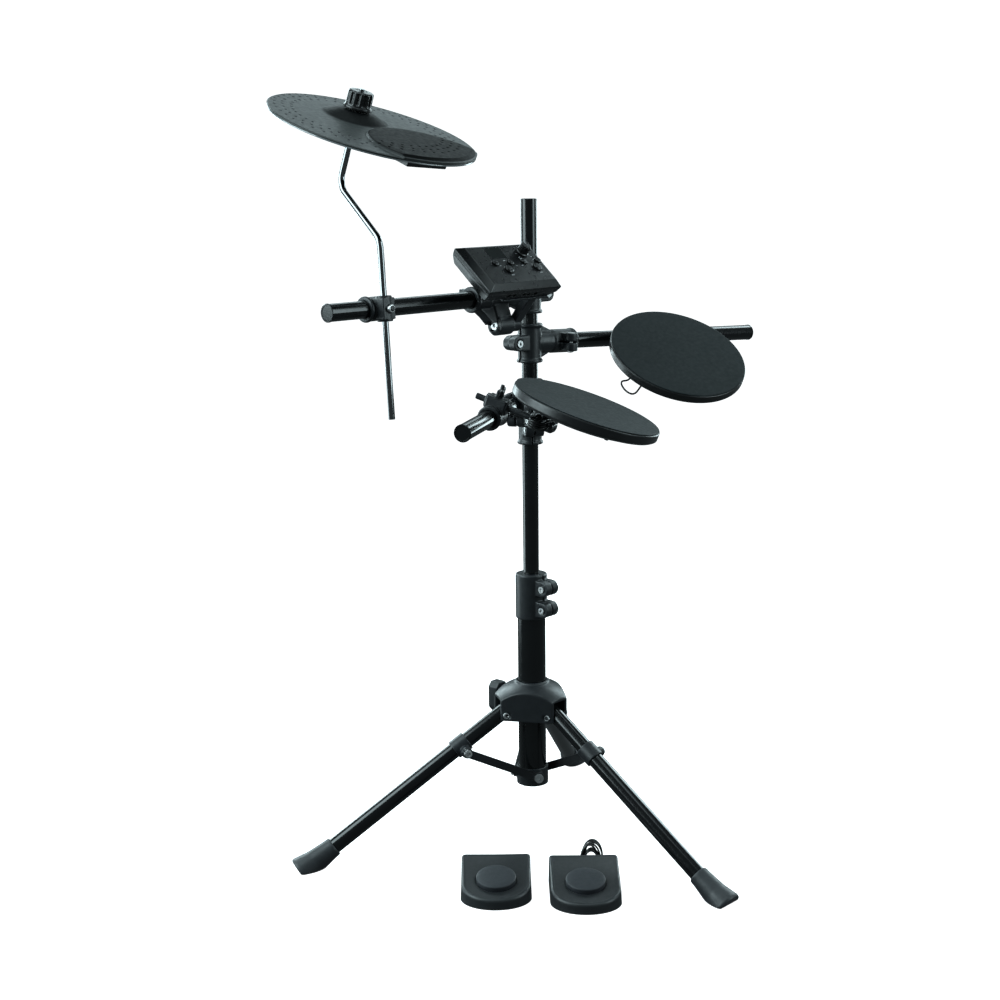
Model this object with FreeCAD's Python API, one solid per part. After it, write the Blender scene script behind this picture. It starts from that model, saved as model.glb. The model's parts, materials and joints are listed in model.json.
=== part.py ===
import FreeCAD, Part
import math
import os

# Small electronic drum kit on a folding tripod: one cymbal pad, two drum
# pads, a sound module and two floor trigger pedals.
# Units are millimetres. +Z is up, the player sits on the -Y side, +X is the
# player's right. While the pieces are made the upright mast stands on the Z
# axis; at the end everything is shifted so that the middle of the kit's box
# is at X = Y = 0, with the feet on Z = 0.

# ---------------------------------------------------------------- dimensions
TUBE_R = 12.5            # mast, arms and legs are 25 mm tube
TUBE_RI = 11.0
RUN = 0.05               # radial clearance of turning and sliding fits

# lower tube and its fittings
LOW_R, LOW_RI = 22.2, 20.2
LOW_Z0, LOW_Z1 = 96.0, 396.0
COLLAR_R = 25.4
COLLAR_Z0, COLLAR_Z1 = 92.0, 121.0
HC_R, HC_Z0, HC_Z1 = 25.0, 367.0, 439.0      # height clamp
HC_EAR_AZ = -84.0
MAST_Z0, MAST_Z1 = 252.0, 1019.0
BUSH_Z0, BUSH_Z1 = 338.0, 394.0

# tripod
FLOOR_Z = -6.0          # the floor, while the pieces are made
LEG_AZ = {"left": 155.5, "front": 275.5, "rear": 35.5}
LEG_PIV_R, LEG_PIV_Z = 50.0, 215.0
LEG_ANG = 55.8           # leg's angle from the vertical when open
LEG_TOP = 14.0           # tube beyond the pivot
LEG_LEN = 366.0          # pivot to the tube's lower end
BR_S, BR_OFF = 85.0, 6.0  # strut pin: distance along the leg, drop below it
COL_PIV_Z = 108.0
STRUT_T0, STRUT_T1 = 26.0, 30.0
HUB_Z0, HUB_Z1 = 206.0, 264.5
HUB_RHO, HUB_RC, HUB_HW = 45.0, 58.0, 18.5
HUB_TRAVEL = 99.0
KNOB_AZ, KNOB_Z = 95.5, 222.0

# arms: azimuth, height at the mast axis, rise angle, outer end
L_AZ, L_Z, L_EL, L_END = 184.4, 876.6, 0.0, 405.0
R_AZ, R_Z, R_EL, R_END = -4.0, 804.0, -2.1, 478.5
S_AZ, S_Z, S_EL, S_END = 208.1, 721.0, -3.0, 290.0
ARM_IN = 23.0            # inner end of every arm, from the mast axis

# pads (rim-top centre, lean direction, lean angle)
PAD_R, PAD_WALL, PAD_DEEP = 109.0, 17.0, 23.0
TOM_C, TOM_AZ, TOM_TILT = (194.6, -132.7, 782.5), -106.7, 32.0
SNR_C, SNR_AZ, SNR_TILT = (-93.0, -220.1, 736.4), -53.8, 19.7
TOM_GLAND, SNR_GLAND = (-80.0, 4.0), (-34.0, 48.0)   # lead glands under the shells
ROD_R = 4.75             # 9.5 mm rods
ROD_OFF = 19.5           # rod axis to arm axis in a cross clamp

# cymbal pad
CYM_R = 150.0
CYM_C, CYM_AZ, CYM_TILT = (-295.4, 1.2, 1124.1), -78.4, 19.8
CYM_ECC = 42.0           # hub behind the rim's middle
ROD_S = 319.0            # where the cymbal rod crosses the left arm
ROD_LEAN = 3.7
ROD_Z0, ROD_Z1 = 723.0, 972.0
BEND_UP = 92.0           # straight top of the rod below the hub

# module
MOD_W, MOD_H, MOD_D = 152.0, 94.0, 31.0
MOD_C, MOD_YAW, MOD_TILT = (-100.6, -70.0, 930.8), 4.4, 40.4
MOD_SPLIT = 15.0
MOD_BR_S0, MOD_BR_S1 = 106.0, 141.0
BTN_SMALL = [(-32.0, 2.6), (-0.6, 2.2), (28.0, 2.2), (59.0, 2.6)]
BTN_BIG = [(-14.5, -12.0), (46.9, -11.0)]
ENC = (39.5, 21.0)
LCD = (-15.3, 23.5)

# pedals (seen-side frame turned by PED_AZ)
PED_AZ = -42.0
PED_W, PED_HF, PED_HB = 107.0, 15.0, 39.0
PED_L = (-60.0, -212.0, 123.0)   # x, y, depth
PED_R = (73.7, -225.0, 135.0)
PED_DISC_R = 30.0

V = FreeCAD.Vector


# ------------------------------------------------------------------- helpers
def rad(a):
    return math.radians(a)


def azv(a, z=0.0):
    return V(math.cos(rad(a)), math.sin(rad(a)), z)


def unit(v):
    w = V(v)
    w.normalize()
    return w


def cyl(p, d, r, h):
    return Part.makeCylinder(r, h, V(p), V(d))


def cyl2(p, q, r):
    a, b = V(p), V(q)
    return Part.makeCylinder(r, (b - a).Length, a, b - a)


def tube(p, q, ro, ri):
    a, b = V(p), V(q)
    d = unit(b - a)
    inner = Part.makeCylinder(ri, (b - a).Length + 2, a - d, d)
    return cyl2(p, q, ro).cut(inner)


def box(x0, x1, y0, y1, z0, z1):
    return Part.makeBox(x1 - x0, y1 - y0, z1 - z0, V(x0, y0, z0))


def frame(o, x, z):
    """Placement with local x near x and local z along z."""
    zz = unit(z)
    xx = V(x) - zz * V(x).dot(zz)
    xx.normalize()
    yy = zz.cross(xx)
    m = FreeCAD.Matrix(xx.x, yy.x, zz.x, o[0],
                       xx.y, yy.y, zz.y, o[1],
                       xx.z, yy.z, zz.z, o[2],
                       0, 0, 0, 1)
    return FreeCAD.Placement(m)


def put(shape, pl):
    s = shape.copy()
    s.Placement = pl.multiply(s.Placement)
    return s


def fuse(*parts):
    s = parts[0]
    if len(parts) > 1:
        s = s.multiFuse(list(parts[1:]))
    return s.removeSplitter()


def cut(a, *tools):
    return a.cut(list(tools))


def revolve(pts, centre=(0, 0, 0), axis=(0, 0, 1)):
    """Solid of revolution about local Z from (r, z) points."""
    w = Part.makePolygon([V(r, 0, z) for r, z in pts] + [V(pts[0][0], 0, pts[0][1])])
    return Part.Face(w).revolve(V(0, 0, 0), V(0, 0, 1), 360)


def prism(pts, z0, z1):
    w = Part.makePolygon([V(x, y, z0) for x, y in pts] + [V(pts[0][0], pts[0][1], z0)])
    return Part.Face(w).extrude(V(0, 0, z1 - z0))


def softened(s, r, pick=None):
    """Rounded edges where the edge test allows, left sharp otherwise."""
    edges = [e for e in s.Edges if pick is None or pick(e)]
    try:
        t = s.makeFillet(r, edges)
        if t.isValid() and t.Volume > 0.5 * s.Volume:
            return t
    except Exception:
        pass
    return s


def hexagon(p, d, af, h):
    """Hexagonal nut body, across flats af."""
    pl = frame(p, V(0, 0, 1) if abs(unit(d).z) < 0.9 else V(1, 0, 0), d)
    r = af / math.sqrt(3)
    return put(prism([(r * math.cos(rad(60 * i)), r * math.sin(rad(60 * i))) for i in range(6)], 0, h), pl)


def bolt(p, d, length, r=3.0, head_r=5.2, head_h=5.0, nut=True, nut_af=10.0, nut_h=5.0):
    """Socket-head bolt: p is under the head, d points from head to tip."""
    u = unit(d)
    head = cyl(V(p) - u * head_h, u, head_r, head_h)
    sock = hexagon(V(p) - u * head_h, u, 5.0, 2.6)
    s = fuse(head.cut(sock), cyl(V(p) - u * 0.2, u, r, length + 0.2))
    if nut:
        n = hexagon(V(p) + u * length, u, nut_af, nut_h)
        s = fuse(s, n)
    return s


NODES = {}


def node(name, *solids):
    NODES[name] = [s for s in solids]


# ---------------------------------------------------------- lower tube, base
node("lower_tube", tube((0, 0, LOW_Z0), (0, 0, LOW_Z1), LOW_R, LOW_RI))

collar = fuse(cyl((0, 0, COLLAR_Z0), (0, 0, 1), COLLAR_R, COLLAR_Z1 - COLLAR_Z0),
              *[cyl2(azv(a + 90) * 12 + V(0, 0, COL_PIV_Z), azv(a + 90) * 25.8 + V(0, 0, COL_PIV_Z), 10.0)
                for a in LEG_AZ.values()])
collar = cut(collar, cyl((0, 0, LOW_Z0), (0, 0, 1), LOW_R, 60),
             cyl((0, 0, COLLAR_Z0 - 1), (0, 0, 1), 14.0, 20))
node("base_collar", collar)

hc_ear = azv(HC_EAR_AZ)
hc_side = azv(HC_EAR_AZ - 90)
hc = cyl((0, 0, HC_Z0), (0, 0, 1), HC_R, HC_Z1 - HC_Z0)
hc = softened(hc, 1.6, lambda e: e.Curve.TypeId == "Part::GeomCircle")
hc_bolt_z = (HC_Z1 - 20.0, HC_Z0 + 18.0)
for z in hc_bolt_z:
    c = hc_ear * 33 + V(0, 0, z)
    lug = cyl2(c - hc_side * 14, c + hc_side * 14, 12.0)
    web = put(box(0, 33, -14, 14, -12, 12), frame(V(0, 0, z), hc_ear, V(0, 0, 1)))
    hc = fuse(hc, lug, web)
hc = cut(hc, cyl((0, 0, HC_Z0 - 1), (0, 0, 1), LOW_R, LOW_Z1 - HC_Z0 + 1.4),
         cyl((0, 0, HC_Z0), (0, 0, 1), TUBE_R + RUN, 100),
         put(box(0, 60, -1.1, 1.1, HC_Z0 - 1, HC_Z1 + 1), frame(V(0, 0, 0), hc_ear, V(0, 0, 1))))
stand_bolts = []
for z in hc_bolt_z:
    c = hc_ear * 33 + V(0, 0, z)
    hc = cut(hc, cyl(c + hc_side * 20, -hc_side, 3.1, 40),
             cyl(c + hc_side * 20, -hc_side, 6.0, 8.5), cyl(c - hc_side * 20, hc_side, 6.4, 8.5))
    stand_bolts.append(bolt(c + hc_side * 11.5, -hc_side, 23, head_h=4.2, nut_h=4.0))
node("height_clamp", hc)
for a in LEG_AZ.values():
    t = azv(a + 90)
    p = V(0, 0, COL_PIV_Z)
    head = cyl(p + t * (STRUT_T1 + 0.3), t, 7.2, 4.0)
    head = head.cut(hexagon(p + t * (STRUT_T1 + 4.4), -t, 6.0, 2.4))
    stand_bolts.append(fuse(head, cyl2(p + t * 25.8, p + t * (STRUT_T1 + 0.4), 4.0)))
node("stand_bolts", *stand_bolts)

# ----------------------------------------------------------------- mast, bush
bush = tube((0, 0, BUSH_Z0), (0, 0, BUSH_Z1), LOW_RI - RUN, TUBE_R + RUN)
node("mast_bush", bush)
mast_tube = tube((0, 0, MAST_Z0), (0, 0, MAST_Z1), TUBE_R, TUBE_RI)
mast_plug = fuse(cyl((0, 0, MAST_Z1 - 14), (0, 0, 1), TUBE_RI, 14.0),
                 softened(cyl((0, 0, MAST_Z1), (0, 0, 1), TUBE_R, 2.6), 1.0,
                          lambda e: e.Curve.TypeId == "Part::GeomCircle" and e.CenterOfMass.z > MAST_Z1 + 2))
node("mast", mast_tube, mast_plug)

# ------------------------------------------------------------------ tripod hub
poly = []
for a in sorted(x % 360 for x in LEG_AZ.values()):
    c, t = azv(a), azv(a + 90)
    for s in (-1, 1):
        q = c * HUB_RC + t * (s * HUB_HW)
        poly.append((q.x, q.y))
hub = prism(poly, HUB_Z0, HUB_Z1)
hub = softened(hub, 3.0, lambda e: abs(e.tangentAt(e.FirstParameter).z) > 0.9)
dome = Part.makeSphere(82.0, V(0, 0, 184.6), V(0, 0, 1), -90, 90, 360)
hub = hub.common(dome)
hub = softened(hub, 1.6, lambda e: e.CenterOfMass.z > 240)
hub = fuse(hub, cyl((0, 0, 245), (0, 0, 1), 27.0, HUB_Z1 - 245))
hub = cut(hub, cyl((0, 0, HUB_Z0 - 1), (0, 0, 1), LOW_R + 0.3, 80))
hub_bolts = []
for a in LEG_AZ.values():
    pl = frame(V(0, 0, 0), azv(a), V(0, 0, 1))
    slot = box(31.0, 80, -13.2, 13.2, HUB_Z0 - 5, 238.0)
    hub = cut(hub, put(slot, pl),
              put(cyl((LEG_PIV_R, -40, LEG_PIV_Z), (0, 1, 0), 3.6, 80), pl),
              put(cyl((LEG_PIV_R, 18.6, LEG_PIV_Z), (0, 1, 0), 6.0, 20), pl),
              put(cyl((LEG_PIV_R, -18.6, LEG_PIV_Z), (0, -1, 0), 6.0, 20), pl))
    b = bolt(V(LEG_PIV_R, 18.4, LEG_PIV_Z), V(0, -1, 0), 36.8, r=3.5, head_r=5.4, head_h=4.6, nut_af=9.0, nut_h=4.6)
    hub_bolts.append(put(b, pl))
# threaded hole for the locking knob, on the back cheek
kd = azv(KNOB_AZ)
hub = fuse(hub, cyl2(kd * 30 + V(0, 0, KNOB_Z), kd * 54 + V(0, 0, KNOB_Z), 11.0))
hub = cut(hub, cyl((0, 0, HUB_Z0 - 1), (0, 0, 1), LOW_R + 0.3, 80),
          cyl2(V(0, 0, KNOB_Z), kd * 70 + V(0, 0, KNOB_Z), 4.0 + RUN))
node("tripod_hub", hub, *hub_bolts)

# locking knob: winged grip on a stud that bears on the lower tube
kpl = frame(kd * 60 + V(0, 0, KNOB_Z), V(0, 0, 1), kd)
grip = [(25, -7), (25, 7), (17, 13.5), (-17, 13.5), (-25, 7), (-25, -7), (-17, -13.5), (17, -13.5)]
knob = fuse(softened(prism(grip, 4, 24), 2.2), cyl((0, 0, -4), (0, 0, 1), 10.0, 12.0))
knob = fuse(put(knob, kpl), cyl2(kd * (LOW_R + 0.6) + V(0, 0, KNOB_Z), kd * 58 + V(0, 0, KNOB_Z), 4.0))
node("hub_lock_knob", knob)

# ------------------------------------------------------------ legs and struts
sa, ca = math.sin(rad(LEG_ANG)), math.cos(rad(LEG_ANG))


def leg_pt(s, off=0.0):
    """Point in a leg's radial plane, off below the tube's axis."""
    return V(LEG_PIV_R + s * sa - off * ca, 0, LEG_PIV_Z - s * ca - off * sa)


pin = leg_pt(BR_S, BR_OFF)
strut_len = math.hypot(pin.x, pin.z - COL_PIV_Z)
for nm, a in LEG_AZ.items():
    pl = frame(V(0, 0, 0), azv(a), V(0, 0, 1))
    d = unit(leg_pt(1) - leg_pt(0))
    t = tube(leg_pt(-LEG_TOP), leg_pt(LEG_LEN), TUBE_R, TUBE_RI)
    t = t.cut(cyl((LEG_PIV_R, -30, LEG_PIV_Z), (0, 1, 0), 3.5 + 0.06, 60))
    node("leg_tube_" + nm, put(t, pl))
    # rubber boot, flared, cut flat where it stands
    s0 = 337.0
    bp = frame(leg_pt(s0), V(0, 1, 0), d)
    boot = revolve([(0, 0), (14.5, 0), (15.6, 2), (16.2, 12), (19.0, 38), (24.5, 62), (23.5, 66), (0, 66)])
    boot = put(boot, bp)
    boot = boot.cut(cyl2(leg_pt(s0 - 5), leg_pt(LEG_LEN), TUBE_R))
    boot = boot.cut(box(0, 600, -100, 100, -100, FLOOR_Z))
    node("leg_foot_" + nm, put(boot, pl))
    # saddle that carries the strut's pin
    sad = fuse(cyl2(leg_pt(BR_S - 13), leg_pt(BR_S + 13), 15.4),
               cyl(V(pin.x, 8, pin.z), (0, 1, 0), 9.0, 17.5))
    sad = sad.cut(cyl2(leg_pt(BR_S - 20), leg_pt(BR_S + 20), TUBE_R))
    node("leg_bracket_" + nm, put(sad, pl))
    # flat strut beside the tube, with its pin
    p0 = V(0, STRUT_T0, COL_PIV_Z)
    u = unit(V(pin.x, 0, pin.z) - V(0, 0, COL_PIV_Z))
    sp = frame(p0, u, V(0, 1, 0))
    bar = fuse(box(0, strut_len, -6.5, 6.5, 0, 4), cyl((0, 0, 0), (0, 0, 1), 9.0, 4),
               cyl((strut_len, 0, 0), (0, 0, 1), 8.0, 4))
    bar = cut(bar, cyl((0, 0, -1), (0, 0, 1), 4.0 + 0.06, 8), cyl((strut_len, 0, -1), (0, 0, 1), 4.0, 8))
    spin = fuse(cyl((strut_len, 0, 0.0), (0, 0, 1), 4.0, 4.2),
                cyl((strut_len, 0, 4.0), (0, 0, 1), 6.5, 3.4).cut(hexagon((strut_len, 0, 7.5), (0, 0, -1), 5.0, 2.0)))
    node("strut_" + nm, put(put(bar, sp), pl), put(put(spin, sp), pl))


# ------------------------------------------------------ clamps on mast and arms
def t_clamp(lo, hi, ear_az, ear_z, elev, roll, j0=38.0, j1=85.0, je=61.0, jr=11.0):
    """Mast clamp with an arm socket. Local z is the mast, local x the arm.
    Returns the moulding and its two bolts."""
    a = V(math.cos(rad(elev)), 0, math.sin(rad(elev)))
    ap = frame(V(0, 0, 0), V(0, math.cos(rad(roll)), math.sin(rad(roll))), a)  # arm axes: x = ear side
    sleeve = revolve([(0, -lo), (19.0, -lo), (20.2, -lo + 1.2), (20.2, -lo + 4), (18.0, -lo + 6),
                      (18.0, hi - 6), (20.2, hi - 4), (20.2, hi - 1.2), (19.0, hi), (0, hi)])
    neck = cyl(V(0, 0, 0), a, 16.6, j0 + 6)
    web = prism([(6, -24), (22, -24), (46, -13), (46, 13), (22, 24), (6, 24)], -6, 6)
    web = put(web, frame(V(0, 0, 0), V(1, 0, 0), V(0, -1, 0)))
    jaw = put(revolve([(0, j0), (17.0, j0), (18.4, j0 + 2), (18.4, j1 - 7), (19.6, j1 - 5), (19.6, j1 - 1.5), (18.6, j1), (0, j1)]), ap)
    jear = put(fuse(cyl((26, -14, je), (0, 1, 0), jr, 28), box(8, 26, -14, 14, je - jr, je + jr)), ap)
    ed = azv(ear_az)
    es = azv(ear_az + 90)
    c = ed * 30 + V(0, 0, ear_z)
    ear = fuse(cyl2(c - es * 14.5, c + es * 14.5, 11.5),
               put(box(0, 30, -14.5, 14.5, -11.5, 11.5), frame(V(0, 0, ear_z), ed, V(0, 0, 1))))
    body = fuse(sleeve, neck, web, jaw, jear, ear)
    body = cut(body, cyl((0, 0, -lo - 1), (0, 0, 1), TUBE_R + RUN, lo + hi + 2),
               cyl(a * (ARM_IN - 0.3), a, TUBE_R, 100),
               put(box(0, 60, -1.1, 1.1, -lo - 1, hi + 1), frame(V(0, 0, 0), ed, V(0, 0, 1))),
               put(box(0, 60, -1.2, 1.2, j0 + 4, j1 + 5), ap),
               put(box(-30, 0, -1.2, 1.2, j0 + 8, j1 + 5), ap),
               cyl(c + es * 30, -es, 3.1, 60), cyl(c + es * 30, -es, 6.2, 19.65), cyl(c - es * 30, es, 6.6, 19.65),
               put(cyl((27, 40, je), (0, -1, 0), 3.1, 80), ap),
               put(cyl((27, 40, je), (0, -1, 0), 6.2, 30.15), ap), put(cyl((27, -40, je), (0, 1, 0), 6.6, 30.15), ap))
    b1 = bolt(c + es * 10.4, -es, 20.8, head_h=5.0, nut_h=4.4)
    b2 = put(bolt(V(27, 9.9, je), V(0, -1, 0), 19.8, head_h=5.0, nut_h=4.4), ap)
    return body, [b1, b2]


def arm_tube(az, z, el, end):
    a = V(math.cos(rad(az)) * math.cos(rad(el)), math.sin(rad(az)) * math.cos(rad(el)), math.sin(rad(el)))
    o = V(0, 0, z)
    t = tube(o + a * ARM_IN, o + a * end, TUBE_R, TUBE_RI)
    cap = put(revolve([(0, -12), (TUBE_RI, -12), (TUBE_RI, 0), (13.1, 0), (13.1, 2.4), (12.4, 3.2), (10.6, 3.2), (10.2, 2.4), (0, 2.4)]),
              frame(o + a * end, V(0, 0, 1), a))
    return a, o, t, cap


L_DIR, L_O, lt, lcap = arm_tube(L_AZ, L_Z, L_EL, L_END)
R_DIR, R_O, rt, rcap = arm_tube(R_AZ, R_Z, R_EL, R_END)
S_DIR, S_O, st_, scap = arm_tube(S_AZ, S_Z, S_EL, S_END)
node("left_arm", lt, lcap)
node("right_arm", rt, rcap)
node("snare_arm", st_, scap)

body, bolts = t_clamp(28.0, 30.0, 180.0, 0.0, L_EL, 180.0, 98.0, 130.0, 113.0, 9.5)
# barrel below the socket that carries the module's tilting bracket
BAR_Y, BAR_Z, BAR_S0, BAR_S1 = 14.0, -40.0, 62.0, 92.0
bar_o = V(0, BAR_Y, BAR_Z)
web = put(box(BAR_S0, BAR_S1, -11.0, 11.0, 4.0, math.hypot(BAR_Y, BAR_Z)), frame(V(0, 0, 0), V(1, 0, 0), bar_o))
bar_d = math.hypot(BAR_Y, BAR_Z)
gus = put(prism([(BAR_S0, 2), (122, 2), (122, 16), (112, 26), (BAR_S1 - 1, bar_d + 14), (BAR_S0, bar_d + 4)], -8.0, 8.0),
          frame(V(0, 0, 0), V(1, 0, 0), V(1, 0, 0).cross(bar_o)))
body = fuse(body, web, gus, cyl(bar_o + V(BAR_S0, 0, 0), (1, 0, 0), 15.0, BAR_S1 - BAR_S0))
body = cut(body, cyl((ARM_IN - 0.3, 0, 0), (1, 0, 0), TUBE_R, 120), cyl(bar_o + V(30, 0, 0), (1, 0, 0), 4.0, 90),
           cyl(bar_o + V(BAR_S1 - 4.15, 0, 0), (1, 0, 0), 8.0, 40))
tilt_bolt = bolt(bar_o + V(BAR_S1 - 4.1, 0, 0), V(-1, 0, 0), BAR_S1 - 4.1 - 43.6, r=4.0, head_r=6.6, head_h=5.4, nut_af=12.0, nut_h=5.0)
pl = frame(V(0, 0, L_Z), azv(L_AZ), V(0, 0, 1))
L_PL = pl
node("left_clamp", put(body, pl))
node("left_clamp_bolts", *[put(b, pl) for b in bolts + [tilt_bolt]])
body, bolts = t_clamp(31.0, 29.0, 180.0, 0.0, R_EL, 180.0)
pl = frame(V(0, 0, R_Z), azv(R_AZ), V(0, 0, 1))
node("right_clamp", put(body, pl))
node("right_clamp_bolts", *[put(b, pl) for b in bolts])
body, bolts = t_clamp(75.0, 26.0, -122.0 - S_AZ, -48.0, S_EL, 90.0 + 180.0)
pl = frame(V(0, 0, S_Z), azv(S_AZ), V(0, 0, 1))
node("snare_clamp", put(body, pl))
node("snare_clamp_bolts", *[put(b, pl) for b in bolts])


def cross_clamp(wing):
    """Holds a rod across an arm. Local x is the arm, local z points from the
    arm to the rod, the rod lies along local y."""
    sleeve = put(revolve([(0, -21), (17.0, -21), (18.4, -19.6), (18.4, -16.5), (17.2, -15), (17.2, 15),
                          (18.4, 16.5), (18.4, 19.6), (17.0, 21), (0, 21)]), frame(V(0, 0, 0), V(0, 0, 1), V(1, 0, 0)))
    boss = cyl((0, -18, ROD_OFF), (0, 1, 0), 11.0, 36)
    cheek = put(prism([(-15, 0), (15, 0), (11, ROD_OFF + 10.5), (-11, ROD_OFF + 10.5)], -15, 15),
                frame(V(0, 0, 0), V(1, 0, 0), V(0, -1, 0)))
    body = fuse(sleeve, boss, cheek)
    top = ROD_OFF + 11.0
    body = cut(body, cyl((-40, 0, 0), (1, 0, 0), TUBE_R + RUN, 80),
               cyl((0, -40, ROD_OFF), (0, 1, 0), ROD_R + RUN, 80),
               cyl((0, 0, ROD_OFF + ROD_R), (0, 0, 1), 3.1, 30),
               box(-30, 30, -1.2, 1.2, -30, 0))
    screw = cyl((0, 0, ROD_OFF + ROD_R + 0.3), (0, 0, 1), 3.0, 12)
    if wing == "top":
        w = fuse(cyl((0, 0, top + 0.3), (0, 0, 1), 6.0, 6.0),
                 softened(prism([(-15, -2.2), (15, -2.2), (15, 2.2), (-15, 2.2)], top + 2.3, top + 13.3), 1.4))
        w = fuse(w, cyl((0, 0, top + 3), (0, 0, 1), 5.2, 7))
        w = w.cut(cyl((0, 0, top + 0.3), (0, 0, 1), 3.0, 20))
        screw = cyl((0, 0, ROD_OFF + ROD_R + 0.3), (0, 0, 1), 3.0, 25)
        extra = [w, screw]
    elif wing == "side":
        # no room above the rod: the screw comes in along the arm instead
        body = cut(fuse(body, cyl((0, 0, ROD_OFF + 7.5), (0, 0, 1), 3.3, 3.5)),
                   cyl((0, -40, ROD_OFF), (0, 1, 0), ROD_R + RUN, 80))
        body = fuse(body, cyl((8, 0, ROD_OFF), (1, 0, 0), 6.5, 15.0))
        body = cut(body, cyl((0, 0, ROD_OFF), (1, 0, 0), 3.1, 40), cyl((0, -40, ROD_OFF), (0, 1, 0), ROD_R + RUN, 80),
                   cyl((-40, 0, 0), (1, 0, 0), TUBE_R + RUN, 80))
        w = fuse(cyl((23.3, 0, ROD_OFF), (1, 0, 0), 6.0, 9.0),
                 softened(box(25.0, 36.0, -11, 11, ROD_OFF - 2.2, ROD_OFF + 2.2), 1.4))
        w = w.cut(cyl((23.0, 0, ROD_OFF), (1, 0, 0), 3.0, 20))
        screw = cyl((ROD_R + 0.3, 0, ROD_OFF), (1, 0, 0), 3.0, 33)
        extra = [w, screw]
    else:
        h = cyl((0, 0, top + 0.2), (0, 0, 1), 5.4, 5.0).cut(hexagon((0, 0, top + 5.3), (0, 0, -1), 5.0, 2.6))
        extra = [fuse(h, screw)]
    return body, extra


# ------------------------------------------------------------------ drum pads
def lean(az, tilt):
    return V(math.sin(rad(tilt)) * math.cos(rad(az)), math.sin(rad(tilt)) * math.sin(rad(az)), math.cos(rad(tilt)))


PAD_INFO = {}


def pad(prefix, clamp_name, C, az, tilt, adir, aorg, mount_x, gland_at, wing):
    n = lean(az, tilt)
    c = V(*C)
    e = n.cross(adir)
    e.normalize()
    s_arm = (c - aorg).dot(adir)
    foot = aorg + adir * s_arm
    if (foot - c).dot(e) < 0:
        e = -e
    k = e.cross(adir)
    k.normalize()
    if k.dot(n) < 0:
        k = -k                               # from the arm up to the rod
    # depth of the rod below the rim so that it clears the arm by ROD_OFF
    # (c - h n + x mount_x - aorg) . k = ROD_OFF, x being the pad's local x
    h = ((c - aorg).dot(k) + mount_x * e.cross(n).dot(k) - ROD_OFF) / n.dot(k)
    P = frame(c, e.cross(n), n)              # local y = e
    rod0 = c - n * h + e.cross(n) * mount_x
    s_r = (rod0 - aorg).dot(adir)            # where the rod crosses the arm
    cr = aorg + adir * s_r
    y_arm = (cr - rod0).dot(e)
    PAD_INFO[prefix] = dict(n=n, e=e, k=k, h=h, s=s_r, y=y_arm, c=c, cr=cr, P=P)
    R = PAD_R
    shell = revolve([(R - 4.6, 0.0), (R - 1.4, 0.0), (R, -1.4), (R, -PAD_WALL + 4), (R - 3, -PAD_WALL), (R - 26, -PAD_DEEP),
                     (0, -PAD_DEEP), (0, -PAD_DEEP + 2.6), (R - 27, -PAD_DEEP + 2.6), (R - 5.4, -PAD_WALL + 2.4),
                     (R - 2.6, -PAD_WALL + 5), (R - 2.6, -3.2), (R - 4.6, -3.2)])
    low = h + 9.5
    mount = box(mount_x - 12, mount_x + 12, 40, 76, -low, -PAD_DEEP + 0.6)
    mount = softened(mount, 4.0, lambda q: abs(q.CenterOfMass.z + low) < 0.01 or abs(q.tangentAt(q.FirstParameter).z) > 0.9)
    gland = cyl((gland_at[0], gland_at[1], -PAD_DEEP - 9), (0, 0, 1), 5.5, 9.6)
    shell = fuse(shell, mount, gland)
    shell = cut(shell, cyl((mount_x, 36, -h), (0, 1, 0), ROD_R + 0.02, 80), cyl((gland_at[0], gland_at[1], -PAD_DEEP - 10), (0, 0, 1), 2.2, 4))
    node(prefix + "_shell", put(shell, P))
    head = revolve([(0, -6.6), (R - 5.0, -6.6), (R - 5.0, -1.6), (R - 6.4, -0.5), (R - 30, -0.1), (0, 0.0)])
    node(prefix + "_head", put(head, P))
    plate = cyl((0, 0, -8.4), (0, 0, 1), R - 8.0, 1.8)
    piezo = cyl((0, 0, -9.2), (0, 0, 1), 13.5, 0.8)
    posts = [cyl((62 * math.cos(rad(120 * i + 30)), 62 * math.sin(rad(120 * i + 30)), -PAD_DEEP + 2.6), (0, 0, 1), 9.0, PAD_DEEP - 2.6 - 8.4)
             for i in range(3)]
    node(prefix + "_sensor", put(plate, P), put(piezo, P), *[put(x, P) for x in posts])
    # clamp on the arm, wing nut, and the rod from the clamp to the pad
    body, extra = cross_clamp(wing)
    cp = frame(cr, adir, k)
    room = revolve([(0, 5), (R + 0.8, 5), (R + 0.8, -PAD_WALL + 3.6), (R - 2.6, -PAD_WALL - 0.8), (R - 26, -PAD_DEEP - 0.8), (0, -PAD_DEEP - 0.8)])
    body = body.cut(put(put(room, P), cp.inverse()))
    rod = cyl2((mount_x, 38, -h), (mount_x, y_arm + (34 if wing == "top" else 20), -h), ROD_R)
    node(clamp_name, put(body, cp), *([put(x, cp) for x in extra] + [put(rod, P)]))
    return P


TOM_P = pad("tom", "tom_clamp", TOM_C, TOM_AZ, TOM_TILT, R_DIR, R_O, 14.0, TOM_GLAND, "side")
SNR_P = pad("snare", "snare_pad_clamp", SNR_C, SNR_AZ, SNR_TILT, S_DIR, S_O, 24.0, SNR_GLAND, "top")

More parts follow.
